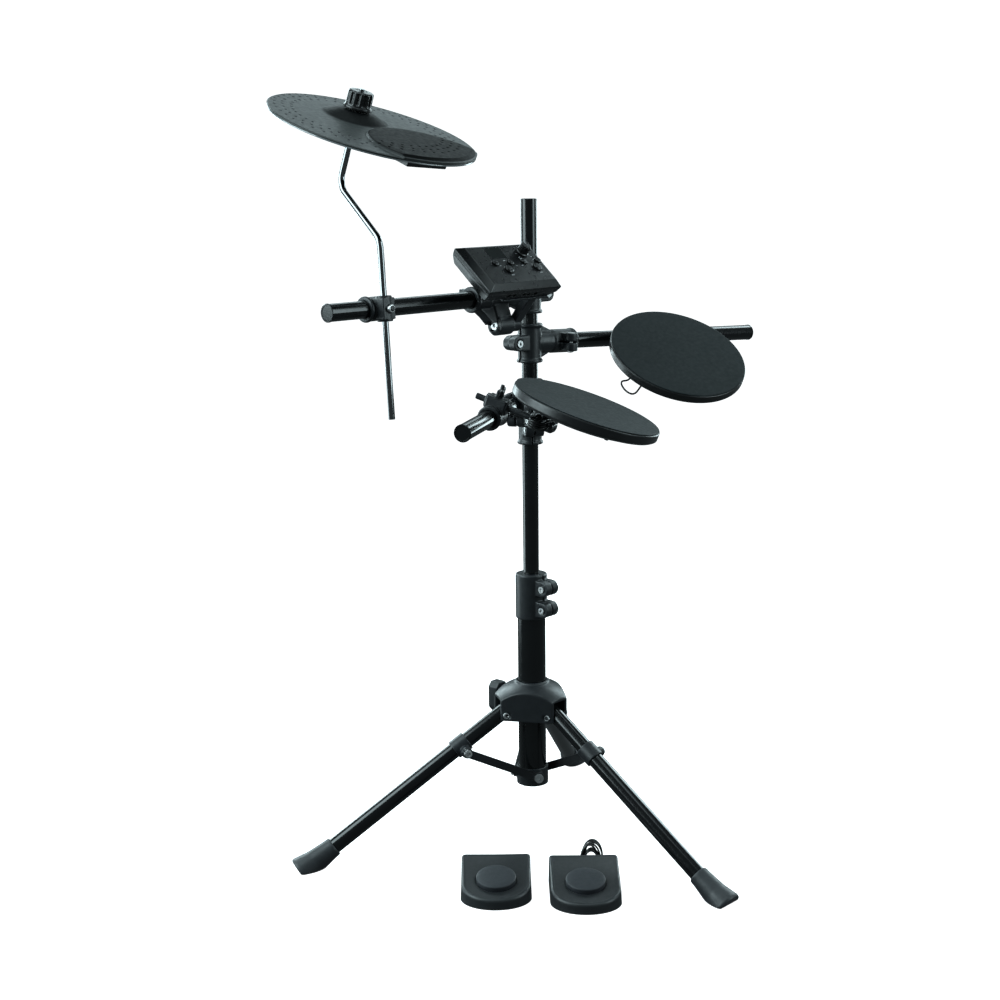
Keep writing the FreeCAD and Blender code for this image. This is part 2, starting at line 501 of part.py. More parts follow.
# ---------------------------------------------------------------- cymbal, rod
ROD_X = L_O + L_DIR * ROD_S
rod_side = V(L_DIR.y, -L_DIR.x, 0)           # horizontal, square to the arm
if rod_side.y > 0:
    rod_side = -rod_side                     # towards the player
rod_up = FreeCAD.Rotation(L_DIR, ROD_LEAN).multVec(V(0, 0, 1))
if rod_up.y < 0:
    rod_up = FreeCAD.Rotation(L_DIR, -ROD_LEAN).multVec(V(0, 0, 1))
rod_k = rod_up.cross(L_DIR)
rod_k.normalize()
if rod_k.dot(rod_side) < 0:
    rod_k = -rod_k
body, extra = cross_clamp("none")
ccp = frame(ROD_X, rod_up.cross(rod_k), rod_k)
node("rod_clamp", put(body, ccp), *[put(x, ccp) for x in extra])

CN = lean(CYM_AZ, CYM_TILT)
cy_back = V(0, 1, 0) - CN * CN.y
cy_back.normalize()
HUB = V(*CYM_C) + cy_back * CYM_ECC          # hub centre on the plate's top
rc = ROD_X + rod_k * ROD_OFF                 # rod axis at the arm


def on_rod(z):
    return rc + rod_up * ((z - rc.z) / rod_up.z)


def polyline_rod(pts, r, fil):
    """Round bar along straight runs joined by tangent arcs."""
    edges = []
    prev = pts[0]
    for i in range(1, len(pts) - 1):
        a, b, c_ = pts[i - 1], pts[i], pts[i + 1]
        u1, u2 = unit(a - b), unit(c_ - b)
        ang = u1.getAngle(u2)
        d = fil / math.tan(ang / 2)
        t1, t2 = b + u1 * d, b + u2 * d
        mid = unit(u1 + u2)
        ctr = b + mid * (fil / math.sin(ang / 2))
        m = ctr - mid * fil
        edges.append(Part.LineSegment(prev, t1).toShape())
        edges.append(Part.Arc(t1, m, t2).toShape())
        prev = t2
    edges.append(Part.LineSegment(prev, pts[-1]).toShape())
    wire = Part.Wire(edges)
    prof = Part.Wire([Part.Circle(pts[0], unit(pts[1] - pts[0]), r).toShape()])
    return wire.makePipeShell([prof], True, False), wire


bend1 = HUB - CN * (BEND_UP + 6)
bend2 = on_rod(ROD_Z1)
tip = HUB - CN * 24
rod_solid, rod_wire = polyline_rod([on_rod(ROD_Z0), bend2, bend1, tip], ROD_R, 26.0)
HP = frame(HUB, V(1, 0, 0), CN)              # cymbal frame, z = normal, y = back
stud = put(cyl((0, 0, -26), (0, 0, 1), 4.0, 69), HP)
seat = put(fuse(revolve([(4.0, -24.2), (9, -24.2), (10, -23), (10, -12), (18.5, -9.4), (18.5, -6.6), (4.0, -6.6)]),
                cyl((0, 0, -7), (0, 0, 1), 6.2, 12).cut(cyl((0, 0, -8), (0, 0, 1), 4.0, 14))), HP)
rod_all = fuse(rod_solid, stud)
node("cymbal_rod", rod_all, seat)

ey = -CYM_ECC                                # rim middle in the cymbal frame


def disc(r, z0, z1, ch):
    return revolve([(0, z0), (r - ch, z0), (r, z0 + ch), (r, z1 - ch), (r - ch, z1), (0, z1)])


def at(s, x, y, z=0.0):
    t = s.copy()
    t.translate(V(x, y, z))
    return t


plate = at(disc(CYM_R - 1.0, -3.6, -1.2, 0.6), 0, ey)
plate = plate.cut(cyl((0, 0, -20), (0, 0, 1), 8.0, 40))
tb = softened(box(-36, 34, -172, -128, -13.0, -3.6), 2.0, lambda e: e.CenterOfMass.z < -6)
node("cymbal_plate", put(plate, HP), put(tb, HP))

skin = at(disc(CYM_R, -1.2, 1.6, 0.7), 0, ey)
bell = revolve([(0, 0), (50, 0.6), (50, 1.6), (44, 3.2), (36, 6.8), (26, 10.6), (17, 12.4), (0, 12.6)])
# raised striking zone towards the player: a disc cut by the rim
zone = at(revolve([(0, 0.5), (94, 0.5), (92.8, 3.2), (89, 5.0), (80, 5.7), (0, 6.0)]), 30, -140)
zone = zone.common(at(revolve([(0, 0.5), (CYM_R - 1.6, 0.5), (CYM_R - 3.0, 3.0), (CYM_R - 8, 5.0), (CYM_R - 16, 6.5), (0, 6.5)]), 0, ey))
skin = fuse(skin, bell, zone)
skin = skin.cut(cyl((0, 0, -20), (0, 0, 1), 8.0, 60))
node("cymbal_rubber", put(skin, HP))

flutes = [cyl((19.8 * math.cos(rad(30 * i)), 19.8 * math.sin(rad(30 * i)), 20.6), (0, 0, 1), 2.6, 22) for i in range(12)]
kn = revolve([(0, 14.6), (19.0, 14.6), (20.5, 15.6), (20.5, 18.4), (18.6, 20.0), (18.2, 37.0), (16.6, 39.4), (0, 40.0)])
kn = kn.cut(flutes)
kn = kn.cut(cyl((0, 0, 10), (0, 0, 1), 4.0 + RUN, 50))
node("cymbal_knob", put(kn, HP))

# ---------------------------------------------------------------------- module
mx = azv(MOD_YAW)
mn = V(math.sin(rad(MOD_TILT)) * math.sin(rad(MOD_YAW)), -math.sin(rad(MOD_TILT)) * math.cos(rad(MOD_YAW)), math.cos(rad(MOD_TILT)))
MP = frame(V(*MOD_C), mx, mn)                # x right, y up the panel, z out of it
W2, H2 = MOD_W / 2, MOD_H / 2


def slab(w, h, z, r=0.0):
    return [V(-w, -h, z), V(w, -h, z), V(w, h, z), V(-w, h, z)]


def loft(sections):
    """Closed solid through rectangles (half width, half height, z)."""
    rings = [slab(w, h, z) for w, h, z in sections]
    faces = [Part.Face(Part.makePolygon(q + [q[0]])) for q in (rings[0], rings[-1])]
    for lo_, hi_ in zip(rings, rings[1:]):
        for i in range(4):
            q = [lo_[i], lo_[(i + 1) % 4], hi_[(i + 1) % 4], hi_[i]]
            faces.append(Part.Face(Part.makePolygon(q + [q[0]])))
    s = Part.makeSolid(Part.makeShell(faces))
    if s.Volume < 0:
        s.reverse()
    return s


fr = loft([(W2 - 1.0, H2 - 1.0, -MOD_SPLIT), (W2, H2, -8.0), (W2 - 10.0, H2 - 9.0, 0.0)])
fr_in = loft([(W2 - 3.4, H2 - 3.4, -MOD_SPLIT - 1), (W2 - 3.0, H2 - 3.0, -9.0), (W2 - 11.4, H2 - 10.4, -2.4)])
holes = [cyl((x, y, -10), (0, 0, 1), 5.3, 20) for x, y in BTN_SMALL] + \
        [cyl((x, y, -10), (0, 0, 1), 7.3, 20) for x, y in BTN_BIG] + \
        [cyl((ENC[0], ENC[1], -10), (0, 0, 1), 4.0, 20),
         box(LCD[0] - 15, LCD[0] + 15, LCD[1] - 9.5, LCD[1] + 9.5, -10, 10)]
fr = cut(fr.cut(fr_in), *holes)
node("module_front", put(fr, MP))

re = loft([(W2 - 1.0, H2 - 1.0, -MOD_SPLIT), (W2 - 2.0, H2 - 1.6, -19.0), (W2 - 8.0, H2 - 7.0, -MOD_D)])
re_in = loft([(W2 - 3.4, H2 - 3.4, -MOD_SPLIT + 1), (W2 - 4.4, H2 - 4.0, -19.0), (W2 - 10.0, H2 - 9.0, -MOD_D + 2.4)])
re = re.cut(re_in)
# jack sockets along the lower edge
JACKS = [(-27.4, 3.75), (-16.6, 3.75), (3.6, 3.75), (14.4, 3.75), (28.4, 4.4)]
for x, r in JACKS:
    re = fuse(re, cyl((x, -H2 + 4.0, -21.0), (0, 1, 0), r + 1.2, 9.0))
    re = re.cut(cyl((x, -H2 - 3, -21.0), (0, 1, 0), r, 14.0))
node("module_rear", put(re, MP))

board = box(-W2 + 7, W2 - 7, -H2 + 14, H2 - 7, -12.6, -11.0)
lcd = box(LCD[0] - 14.8, LCD[0] + 14.8, LCD[1] - 9.3, LCD[1] + 9.3, -11.0, -0.9)
node("module_board", put(board, MP), put(lcd, MP))
enc = revolve([(0, 0.6), (9.8, 0.6), (9.8, 2.6), (8.6, 3.4), (8.2, 14.0), (7.2, 15.4), (0, 15.6)])
enc = enc.cut([cyl((8.9 * math.cos(rad(30 * i)), 8.9 * math.sin(rad(30 * i)), 4.0), (0, 0, 1), 1.1, 12) for i in range(12)])
enc = fuse(enc, cyl((0, 0, -9.9), (0, 0, 1), 3.0, 11))
node("module_knob", put(at(enc, ENC[0], ENC[1]), MP))
for i, (x, y) in enumerate(BTN_SMALL):
    b = revolve([(0, -8.6), (2.0, -8.6), (2.0, -4.6), (6.4, -4.6), (6.4, -3.4), (5.0, -3.4), (5.0, 2.0), (4.0, 2.8), (0, 3.0)])
    node("button_small_%d" % (i + 1), put(at(b, x, y), MP))
for i, (x, y) in enumerate(BTN_BIG):
    b = revolve([(0, -8.6), (2.5, -8.6), (2.5, -4.6), (8.4, -4.6), (8.4, -3.4), (7.0, -3.4), (7.0, 2.0), (5.8, 3.0), (0, 3.2)])
    node("button_big_%d" % (i + 1), put(at(b, x, y), MP))

# tilting bracket: knuckle on the left clamp's barrel bolt, arm, back plate
BAR_W = L_PL.multVec(V(52.0, BAR_Y, BAR_Z))  # middle of the knuckle
loc = MP.inverse().multVec(BAR_W)
KN_HALF = 8.4
knuckle = cyl(loc - V(KN_HALF, 0, 0), (1, 0, 0), 11.5, 2 * KN_HALF)
armb = box(loc.x - KN_HALF, loc.x + KN_HALF, loc.y - 6.0, loc.y + 6.0, loc.z, -MOD_D - 2)
plateb = softened(box(loc.x - 84, loc.x + 14, loc.y - 18, loc.y + 34, -MOD_D - 4.2, -MOD_D), 1.6, lambda e: e.CenterOfMass.z < -MOD_D - 1)
bracket = fuse(knuckle, armb, plateb)
bracket = bracket.cut(cyl(loc - V(60, 0, 0), (1, 0, 0), 4.0 + RUN, 120))
dome_head = revolve([(0, 0), (4.0, 0), (4.0, -1.3), (3.2, -2.1), (1.8, -2.4), (0, -2.4)])
screws = [at(dome_head, loc.x + dx, loc.y + dy, -MOD_D - 4.2) for dx, dy in ((-76, -10), (-76, 26), (-30, 26), (-30, -10))]
node("module_bracket", put(bracket, MP), *[put(x, MP) for x in screws])

# ---------------------------------------------------------------------- pedals
PED_PL = {}


def ped_outline(PED_D, grow):
    """D-shaped plan: flat at the back, round in front (towards -y)."""
    w, d = PED_W / 2 + grow, PED_D / 2 + grow
    pts = [(-w + 4, d), (w - 4, d), (w, d - 5)]
    n_ = 15
    y1 = -d + 44
    pts += [(w, d - 5 - (d - 5 - y1) * i / 2.0) for i in (1, 2)]
    for i in range(1, n_):
        t = math.pi * i / n_
        pts.append((w * math.cos(t), y1 - 44 * math.sin(t)))
    pts += [(-w, y1), (-w, (y1 + d - 5) / 2), (-w, d - 5)]
    return pts


for side, c in (("left", PED_L), ("right", PED_R)):
    rot = FreeCAD.Rotation(V(0, 0, 1), PED_AZ)
    PED_D = c[2]
    PED_SLOPE = math.degrees(math.atan2(PED_HB - PED_HF, PED_D))
    o = rot.multVec(V(c[0], c[1], FLOOR_Z))
    P = FreeCAD.Placement(o, rot)
    PED_PL[side] = P
    pts = ped_outline(PED_D, 0.0)
    outer = prism(pts, 0, 60)
    tilt_cut = box(-100, 100, -200, 200, 0, 80)
    tilt_cut.rotate(V(0, 0, 0), V(1, 0, 0), PED_SLOPE)
    hm = (PED_HF + PED_HB) / 2
    outer = outer.cut(at(tilt_cut, 0, 0, hm))
    top_edges = lambda e: e.CenterOfMass.z > 8.0 and abs(e.tangentAt((e.FirstParameter + e.LastParameter) / 2).z) < 0.5
    outer = softened(outer, 2.4, top_edges)
    inner = prism(ped_outline(PED_D, -2.6), -1, 60)
    inner = inner.cut(at(tilt_cut, 0, 0, hm - 2.8))
    shell = outer.cut(inner)
    sp = FreeCAD.Placement(V(0, -9, hm - 9 * math.tan(rad(PED_SLOPE))), FreeCAD.Rotation(V(1, 0, 0), PED_SLOPE))
    shell = shell.cut(put(cyl((0, 0, -20), (0, 0, 1), PED_DISC_R + 0.5, 40), sp))
    floor = prism(ped_outline(PED_D, -2.7), 0.0, 2.4)
    post = put(cyl((0, 0, -30), (0, 0, 1), 12.0, 20.0), sp).common(box(-50, 50, -80, 80, 2.4, 40))
    jack = cyl((-34, PED_D / 2 - 2.6, 12), (0, 1, 0), 5.4, 3.2)
    if side == "left":
        shell = fuse(shell, jack)
        shell = shell.cut(cyl((-34, PED_D / 2 - 6, 12), (0, 1, 0), 3.75, 12))
    else:
        shell = fuse(shell, cyl((14, PED_D / 2 - 2.6, 12), (0, 1, 0), 5.0, 9.6))
        shell = shell.cut(cyl((14, PED_D / 2 + 4, 12), (0, 1, 0), 2.0, 4))
    node("pedal_%s_shell" % side, put(shell, P), put(floor, P), put(post, P))
    dsk = revolve([(0, -6.0), (PED_DISC_R + 2.6, -6.0), (PED_DISC_R + 2.6, -4.6), (PED_DISC_R, -4.6),
                   (PED_DISC_R, 5.4), (PED_DISC_R - 2.4, 7.4), (PED_DISC_R - 7, 8.2), (0, 8.6)])
    node("pedal_%s_disc" % side, put(put(dsk, sp), P))
    PED_PL[side + "_disc"] = P.multiply(sp)

# ------------------------------------------------------------------------ leads
# Each lead is stored as one closed solid of its hank or coil, with its plug;
# the tom's has its free run too.


def hank(length, width, thick):
    """Flat bundle, rounded at both ends, lying along local x."""
    r = width / 2
    s = fuse(box(-length / 2 + r, length / 2 - r, -r, r, 0, thick),
             cyl((-length / 2 + r, 0, 0), (0, 0, 1), r, thick), cyl((length / 2 - r, 0, 0), (0, 0, 1), r, thick))
    return softened(s, thick * 0.3, lambda e: abs(e.CenterOfMass.z - thick / 2) > thick * 0.45)


def plug(p, d):
    u = unit(d)
    return fuse(cyl(p, u, 4.6, 22), cyl(V(p) + u * 22, u, 3.1, 14), cyl(V(p) - u * 8, u, 3.0, 8.2))


z0 = -PAD_DEEP - 9.0
TOM_RUN = [TOM_GLAND + (-29.6,), TOM_GLAND + (-42.5,), (-97.0, 8.0, -42.5), (-101.0, -12.0, -45.5), (-94.0, -29.0, -44.0),
           (-76.0, -19.0, -34.0), (-58.0, -14.0, -28.0), (20.0, 17.0, -28.0), (42.0, 20.0, -28.0), (42.0, 20.0, -42.0)]
run, _ = polyline_rod([V(*q) for q in TOM_RUN], 1.5, 6.5)
hk = fuse(at(hank(66.0, 22.0, 18.0), 52.0, 20.0, z0 - 18.0), run)
pg = plug(V(40.0, 3.5, z0 - 8.0), V(1, 0, 0))
node("tom_lead", put(hk, TOM_P), put(pg, TOM_P))
hk = at(hank(80.0, 22.0, 14.0), SNR_GLAND[0], SNR_GLAND[1], z0 - 14.0)
pg = plug(V(SNR_GLAND[0] - 18, SNR_GLAND[1] - 17, z0 - 7.0), V(1, 0, 0))
node("snare_lead", put(hk, SNR_P), put(pg, SNR_P))
P = PED_PL["right"]
hk = hank(54.0, 38.0, 18.0)
hk.rotate(V(0, 0, 0), V(0, 1, 0), 90)
hk.rotate(V(0, 0, 0), V(0, 0, 1), 90)
hb = hk.BoundBox
hk = at(hk, 14.0 - hb.Center.x, PED_R[2] / 2 + 7.0 - hb.YMin, 0.4 - hb.ZMin)
pg = plug(V(-16, PED_R[2] / 2 + 18, 5.2), V(-1, 0.3, 0))
node("pedal_lead", put(hk, P), put(pg, P))

# --------------------------------------------------------------------- export
CORDS = ("tom_lead", "snare_lead", "pedal_lead")
bb = FreeCAD.BoundBox()
for k_, ss in NODES.items():
    if k_ not in CORDS:
        for s in ss:
            bb.add(s.optimalBoundingBox(False, False))
SHIFT = V(-bb.Center.x, -bb.Center.y, -FLOOR_Z)


def main():
    os.makedirs("parts", exist_ok=True)
    bad = 0
    for k_, ss in NODES.items():
        out = []
        for s in ss:
            for x in s.Solids:
                y = x.copy()
                y.translate(SHIFT)
                out.append(y)
                if not y.isValid() or y.Volume <= 0:
                    bad += 1
                    print("INVALID", k_)
        shape = out[0] if len(out) == 1 else Part.makeCompound(out)
        shape.exportStep("parts/%s.step" % k_)
        print("%-20s solids %d  vol %.0f" % (k_, len(out), sum(x.Volume for x in out)))
    print("nodes", len(NODES), "invalid", bad, "shift", SHIFT, "box", bb)
    for k_, d in PAD_INFO.items():
        print(k_, "rod depth %.1f, crosses arm at %.1f, %.1f from pad centre" % (d["h"], d["s"], d["y"]))
    print("rod length %.1f volume %.0f section x length %.0f" % (rod_wire.Length, rod_solid.Volume, rod_wire.Length * math.pi * ROD_R ** 2))
    print("hub", HUB, "bend1", bend1, "bend2", bend2, "strut", strut_len)


main()
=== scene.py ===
import json
import math

import bmesh
import bpy
from mathutils import Matrix, Vector, noise


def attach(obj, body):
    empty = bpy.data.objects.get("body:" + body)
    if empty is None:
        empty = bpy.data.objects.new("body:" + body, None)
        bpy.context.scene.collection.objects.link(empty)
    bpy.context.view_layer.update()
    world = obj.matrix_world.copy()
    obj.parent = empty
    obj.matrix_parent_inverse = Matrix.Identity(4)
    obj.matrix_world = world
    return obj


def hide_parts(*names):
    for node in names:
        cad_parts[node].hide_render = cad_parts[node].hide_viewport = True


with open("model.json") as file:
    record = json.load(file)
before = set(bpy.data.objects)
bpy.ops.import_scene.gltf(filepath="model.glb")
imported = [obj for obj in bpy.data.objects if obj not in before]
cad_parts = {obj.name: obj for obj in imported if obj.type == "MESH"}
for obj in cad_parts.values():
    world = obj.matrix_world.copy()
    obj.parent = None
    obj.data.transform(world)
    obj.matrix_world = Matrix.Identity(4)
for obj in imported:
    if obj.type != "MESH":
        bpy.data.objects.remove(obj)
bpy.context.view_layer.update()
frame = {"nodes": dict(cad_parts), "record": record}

SC = bpy.context.scene
MM = 0.001
SHIFT = Vector((-18.5505, 75.8425, 6.0))     # kit axes (mast on Z) to the row frame, mm
rad = math.radians


# ------------------------------------------------------------------ placements
def K(x, y, z):
    return (Vector((x, y, z)) + SHIFT) * MM


def axes(o, x, z):
    """Matrix with its origin at o, local z along z and local x near x; local lengths are mm."""
    z = Vector(z).normalized()
    x = Vector(x)
    x = (x - z * x.dot(z)).normalized()
    y = z.cross(x)
    return Matrix(((x.x, y.x, z.x, o[0]), (x.y, y.y, z.y, o[1]), (x.z, y.z, z.z, o[2]), (0, 0, 0, 1))) @ Matrix.Scale(MM, 4)


def azv(a, z=0.0):
    return Vector((math.cos(rad(a)), math.sin(rad(a)), z))


def lean(az, tilt):
    return Vector((math.sin(rad(tilt)) * math.cos(rad(az)), math.sin(rad(tilt)) * math.sin(rad(az)), math.cos(rad(tilt))))


def pad_axes(c, az, tilt, arm_az, arm_el, arm_z):
    n = lean(az, tilt)
    c = Vector(c)
    a = Vector((math.cos(rad(arm_az)) * math.cos(rad(arm_el)), math.sin(rad(arm_az)) * math.cos(rad(arm_el)), math.sin(rad(arm_el))))
    o = Vector((0, 0, arm_z))
    e = n.cross(a).normalized()
    if (o + a * (c - o).dot(a) - c).dot(e) < 0:
        e = -e
    return axes(K(*c), e.cross(n), n)


TOM = pad_axes((194.6, -132.7, 782.5), -106.7, 32.0, -4.0, -2.1, 804.0)
SNR = pad_axes((-93.0, -220.1, 736.4), -53.8, 19.7, 208.1, -3.0, 721.0)
CYM = axes(K(-294.3937, 40.8204, 1138.0), (1, 0, 0), lean(-78.4, 19.8))
MOD = axes(K(-100.6, -70.0, 930.8), azv(4.4), Vector((math.sin(rad(40.4)) * math.sin(rad(4.4)), -math.sin(rad(40.4)) * math.cos(rad(4.4)), math.cos(rad(40.4)))))
PED_ROT = Matrix.Rotation(rad(-42.0), 4, "Z")
PED = {"left": (-60.0, -212.0, 123.0), "right": (73.7, -225.0, 135.0)}


def ped_axes(side):
    x, y, _ = PED[side]
    o = PED_ROT @ Vector((x, y, -6.0))
    return Matrix.Translation(K(*o)) @ PED_ROT @ Matrix.Scale(MM, 4)


# ---------------------------------------------------------------------- camera
cam_data = bpy.data.cameras.new("camera")
cam_data.lens = 61.75
cam_data.sensor_width = 36.0
cam_data.clip_start, cam_data.clip_end = 0.05, 60.0
cam = bpy.data.objects.new("camera", cam_data)
SC.collection.objects.link(cam)
c_right, c_look = Vector((0.7431, -0.6691, 0.0)), Vector((0.6691, 0.7431, 0.0))
pitch, roll = rad(11.13), -0.0106
c_fwd = c_look * math.cos(pitch) - Vector((0, 0, 1)) * math.sin(pitch)
c_up = c_look * math.sin(pitch) + Vector((0, 0, 1)) * math.cos(pitch)
cx = c_right * math.cos(roll) + c_up * math.sin(roll)
cy = c_up * math.cos(roll) - c_right * math.sin(roll)
cz = -c_fwd
cam.matrix_world = Matrix(((cx.x, cy.x, cz.x, -1.8188), (cx.y, cy.y, cz.y, -1.8517), (cx.z, cy.z, cz.z, 1.0815), (0, 0, 0, 1)))
SC.camera = cam


# ------------------------------------------------------------------- materials
def tree(name):
    m = bpy.data.materials.new(name)
    m.use_nodes = True
    nt = m.node_tree
    return m, nt, nt.nodes["Principled BSDF"]


def wire(nt, a, ao, b, bi):
    nt.links.new(a.outputs[ao], b.inputs[bi])


def noise_tex(nt, co, scale, detail=3.0, rough=0.55):
    n = nt.nodes.new("ShaderNodeTexNoise")
    n.inputs["Scale"].default_value = scale
    n.inputs["Detail"].default_value = detail
    n.inputs["Roughness"].default_value = rough
    wire(nt, co, "Object", n, "Vector")
    return n


def remap(nt, src, out, a, b, lo, hi):
    n = nt.nodes.new("ShaderNodeMapRange")
    n.inputs["From Min"].default_value = a
    n.inputs["From Max"].default_value = b
    n.inputs["To Min"].default_value = lo
    n.inputs["To Max"].default_value = hi
    wire(nt, src, out, n, "Value")
    return n


def mix_col(nt, fac, fo, a, b):
    """Mix of two colours; a and b are colours or nodes with a colour output."""
    n = nt.nodes.new("ShaderNodeMix")
    n.data_type = "RGBA"
    wire(nt, fac, fo, n, 0)
    for s, v in ((6, a), (7, b)):
        if isinstance(v, tuple):
            n.inputs[s].default_value = (v[0], v[1], v[2], 1.0)
        else:
            nt.links.new(v.outputs[2] if v.bl_idname == "ShaderNodeMix" else v.outputs[0], n.inputs[s])
    return n


def finish_mat(name, dark, light, rough, grain=2600.0, grain_mm=0.02, peel=0.0, metal=0.0, spec=0.5, coat=0.0, coat_rough=0.1,
               edge=None, dust=0.0, blotch=16.0, mid=160.0, sheen=0.0, lines=0.0, painted_shade_colour=None):
    """Coloured surface with cloudy colour, uneven gloss, fine grain, and polished edges, light dust or painted shade
    from a mesh attribute where asked.
    """
    m, nt, b = tree(name)
    co = nt.nodes.new("ShaderNodeTexCoord")
    cloud = noise_tex(nt, co, blotch, 4.0, 0.6)
    f = remap(nt, cloud, "Fac", 0.3, 0.7, 0.0, 1.0)
    col = mix_col(nt, f, "Result", dark, light)
    if dust > 0:
        d = noise_tex(nt, co, 900.0, 2.0, 0.7)
        df = remap(nt, d, "Fac", 0.66, 0.78, 0.0, dust)
        col = mix_col(nt, df, "Result", col, (0.30, 0.31, 0.32))
    if edge is not None:
        g = nt.nodes.new("ShaderNodeNewGeometry")
        ef = remap(nt, g, "Pointiness", 0.515, 0.60, 0.0, 0.75)
        wear = noise_tex(nt, co, 70.0, 3.0, 0.6)
        wf = remap(nt, wear, "Fac", 0.35, 0.65, 0.35, 1.0)
        mul = nt.nodes.new("ShaderNodeMath")
        mul.operation = "MULTIPLY"
        wire(nt, ef, "Result", mul, 0)
        wire(nt, wf, "Result", mul, 1)
        col = mix_col(nt, mul, "Value", col, edge)
    if painted_shade_colour is not None:
        # painted shade: a mesh attribute mixes the colour toward the given near-black and dulls the specular where it
        # marks shaded places
        pt = nt.nodes.new("ShaderNodeAttribute")
        pt.attribute_name = "painted_shade"
        col = mix_col(nt, pt, "Fac", col, painted_shade_colour)
        dull = remap(nt, pt, "Fac", 0.0, 1.0, spec, 0.03)
        wire(nt, dull, "Result", b, "Specular IOR Level")
    nt.links.new(col.outputs[2], b.inputs["Base Color"])
    r = noise_tex(nt, co, mid, 3.0, 0.5)
    rr = remap(nt, r, "Fac", 0.3, 0.7, rough[0], rough[1])
    wire(nt, rr, "Result", b, "Roughness")
    b.inputs["Metallic"].default_value = metal
    b.inputs["Specular IOR Level"].default_value = spec
    if coat > 0:
        b.inputs["Coat Weight"].default_value = coat
        b.inputs["Coat Roughness"].default_value = coat_rough
    if sheen > 0:
        b.inputs["Sheen Weight"].default_value = sheen
        b.inputs["Sheen Roughness"].default_value = 0.45
    fine = noise_tex(nt, co, grain, 2.0, 0.5)
    bump = nt.nodes.new("ShaderNodeBump")
    bump.inputs["Strength"].default_value = 1.0
    bump.inputs["Distance"].default_value = grain_mm * MM
    wire(nt, fine, "Fac", bump, "Height")
    last = bump
    if peel > 0:
        pl = noise_tex(nt, co, 420.0, 1.0, 0.4)
        b2 = nt.nodes.new("ShaderNodeBump")
        b2.inputs["Strength"].default_value = 1.0
        b2.inputs["Distance"].default_value = peel * MM
        wire(nt, pl, "Fac", b2, "Height")
        wire(nt, last, "Normal", b2, "Normal")
        last = b2
    if lines > 0:
        mp = nt.nodes.new("ShaderNodeMapping")
        mp.inputs["Scale"].default_value = (900.0, 900.0, 12.0)
        wire(nt, co, "Object", mp, "Vector")
        ln = nt.nodes.new("ShaderNodeTexNoise")
        ln.inputs["Scale"].default_value = 1.0
        ln.inputs["Detail"].default_value = 2.0
        nt.links.new(mp.outputs["Vector"], ln.inputs["Vector"])
        b3 = nt.nodes.new("ShaderNodeBump")
        b3.inputs["Strength"].default_value = 1.0
        b3.inputs["Distance"].default_value = lines * MM
        wire(nt, ln, "Fac", b3, "Height")
        wire(nt, last, "Normal", b3, "Normal")
        last = b3
    wire(nt, last, "Normal", b, "Normal")
    return m


M = {}
M["gloss_tube"] = finish_mat("paint_gloss_black", (0.0028, 0.0033, 0.0036), (0.0046, 0.0054, 0.0059), (0.15, 0.21), grain=3000, grain_mm=0.002,
                             peel=0.004, spec=0.45, coat=0.15, coat_rough=0.08, dust=0.008)
M["moulding"] = finish_mat("moulded_nylon", (0.0085, 0.0102, 0.0122), (0.0130, 0.0155, 0.0182), (0.34, 0.46), grain=2400, grain_mm=0.018,
                           spec=0.5, edge=(0.045, 0.050, 0.056), dust=0.05)
M["boot_rubber"] = finish_mat("boot_rubber", (0.014, 0.0160, 0.0185), (0.022, 0.0250, 0.0285), (0.42, 0.56), grain=1900, grain_mm=0.025,
                              spec=0.5, edge=(0.050, 0.056, 0.064), dust=0.08)
M["head_rubber"] = finish_mat("head_rubber", (0.0072, 0.0110, 0.0120), (0.0092, 0.0136, 0.0147), (0.66, 0.78), grain=2200, grain_mm=0.030,
                              spec=0.20, sheen=0.01, dust=0.01)
# cymbal skin: its near-black second colour is painted shade for the dimples, the strike zone and the bell
M["cymbal_skin"] = finish_mat("cymbal_rubber", (0.0160, 0.0190, 0.0190), (0.0215, 0.0255, 0.0250), (0.44, 0.56), grain=2000, grain_mm=0.024,
                              spec=0.5, dust=0.04, painted_shade_colour=(0.0030, 0.0034, 0.0036))
M["pad_shell"] = finish_mat("pad_shell_plastic", (0.0060, 0.0066, 0.0072), (0.0090, 0.0098, 0.0108), (0.30, 0.40), grain=2600, grain_mm=0.012,
                            spec=0.5, dust=0.03)
M["zinc"] = finish_mat("zinc_plate", (0.60, 0.61, 0.62), (0.80, 0.80, 0.79), (0.34, 0.48), grain=2800, grain_mm=0.006, metal=1.0, mid=300)
M["chrome"] = finish_mat("black_chrome_rod", (0.22, 0.225, 0.23), (0.28, 0.285, 0.29), (0.07, 0.12), grain=3000, grain_mm=0.001, metal=1.0, lines=0.002)
M["black_steel"] = finish_mat("blacked_steel", (0.010, 0.011, 0.012), (0.018, 0.019, 0.021), (0.28, 0.42), grain=2200, grain_mm=0.010,
                              spec=0.5, dust=0.05)
M["case_plastic"] = finish_mat("module_case", (0.0030, 0.0036, 0.0039), (0.0047, 0.0056, 0.0060), (0.26, 0.34), grain=3200, grain_mm=0.006,
                               spec=0.42, edge=(0.020, 0.024, 0.027), dust=0.004)
M["key_plastic"] = finish_mat("key_plastic", (0.0050, 0.0054, 0.0058), (0.0080, 0.0086, 0.0092), (0.24, 0.34), grain=2600, grain_mm=0.010,
                              spec=0.5, dust=0.03)
M["board"] = finish_mat("circuit_board", (0.004, 0.020, 0.011), (0.006, 0.030, 0.016), (0.30, 0.42), grain=1800, grain_mm=0.02, spec=0.5, mid=400)
M["sensor_metal"] = finish_mat("sensor_plate", (0.42, 0.43, 0.44), (0.56, 0.56, 0.56), (0.28, 0.42), grain=2400, grain_mm=0.006, metal=1.0)
M["lead"] = finish_mat("lead_pvc", (0.0050, 0.0052, 0.0055), (0.0085, 0.0088, 0.0092), (0.28, 0.40), grain=2600, grain_mm=0.008, spec=0.5, dust=0.03)
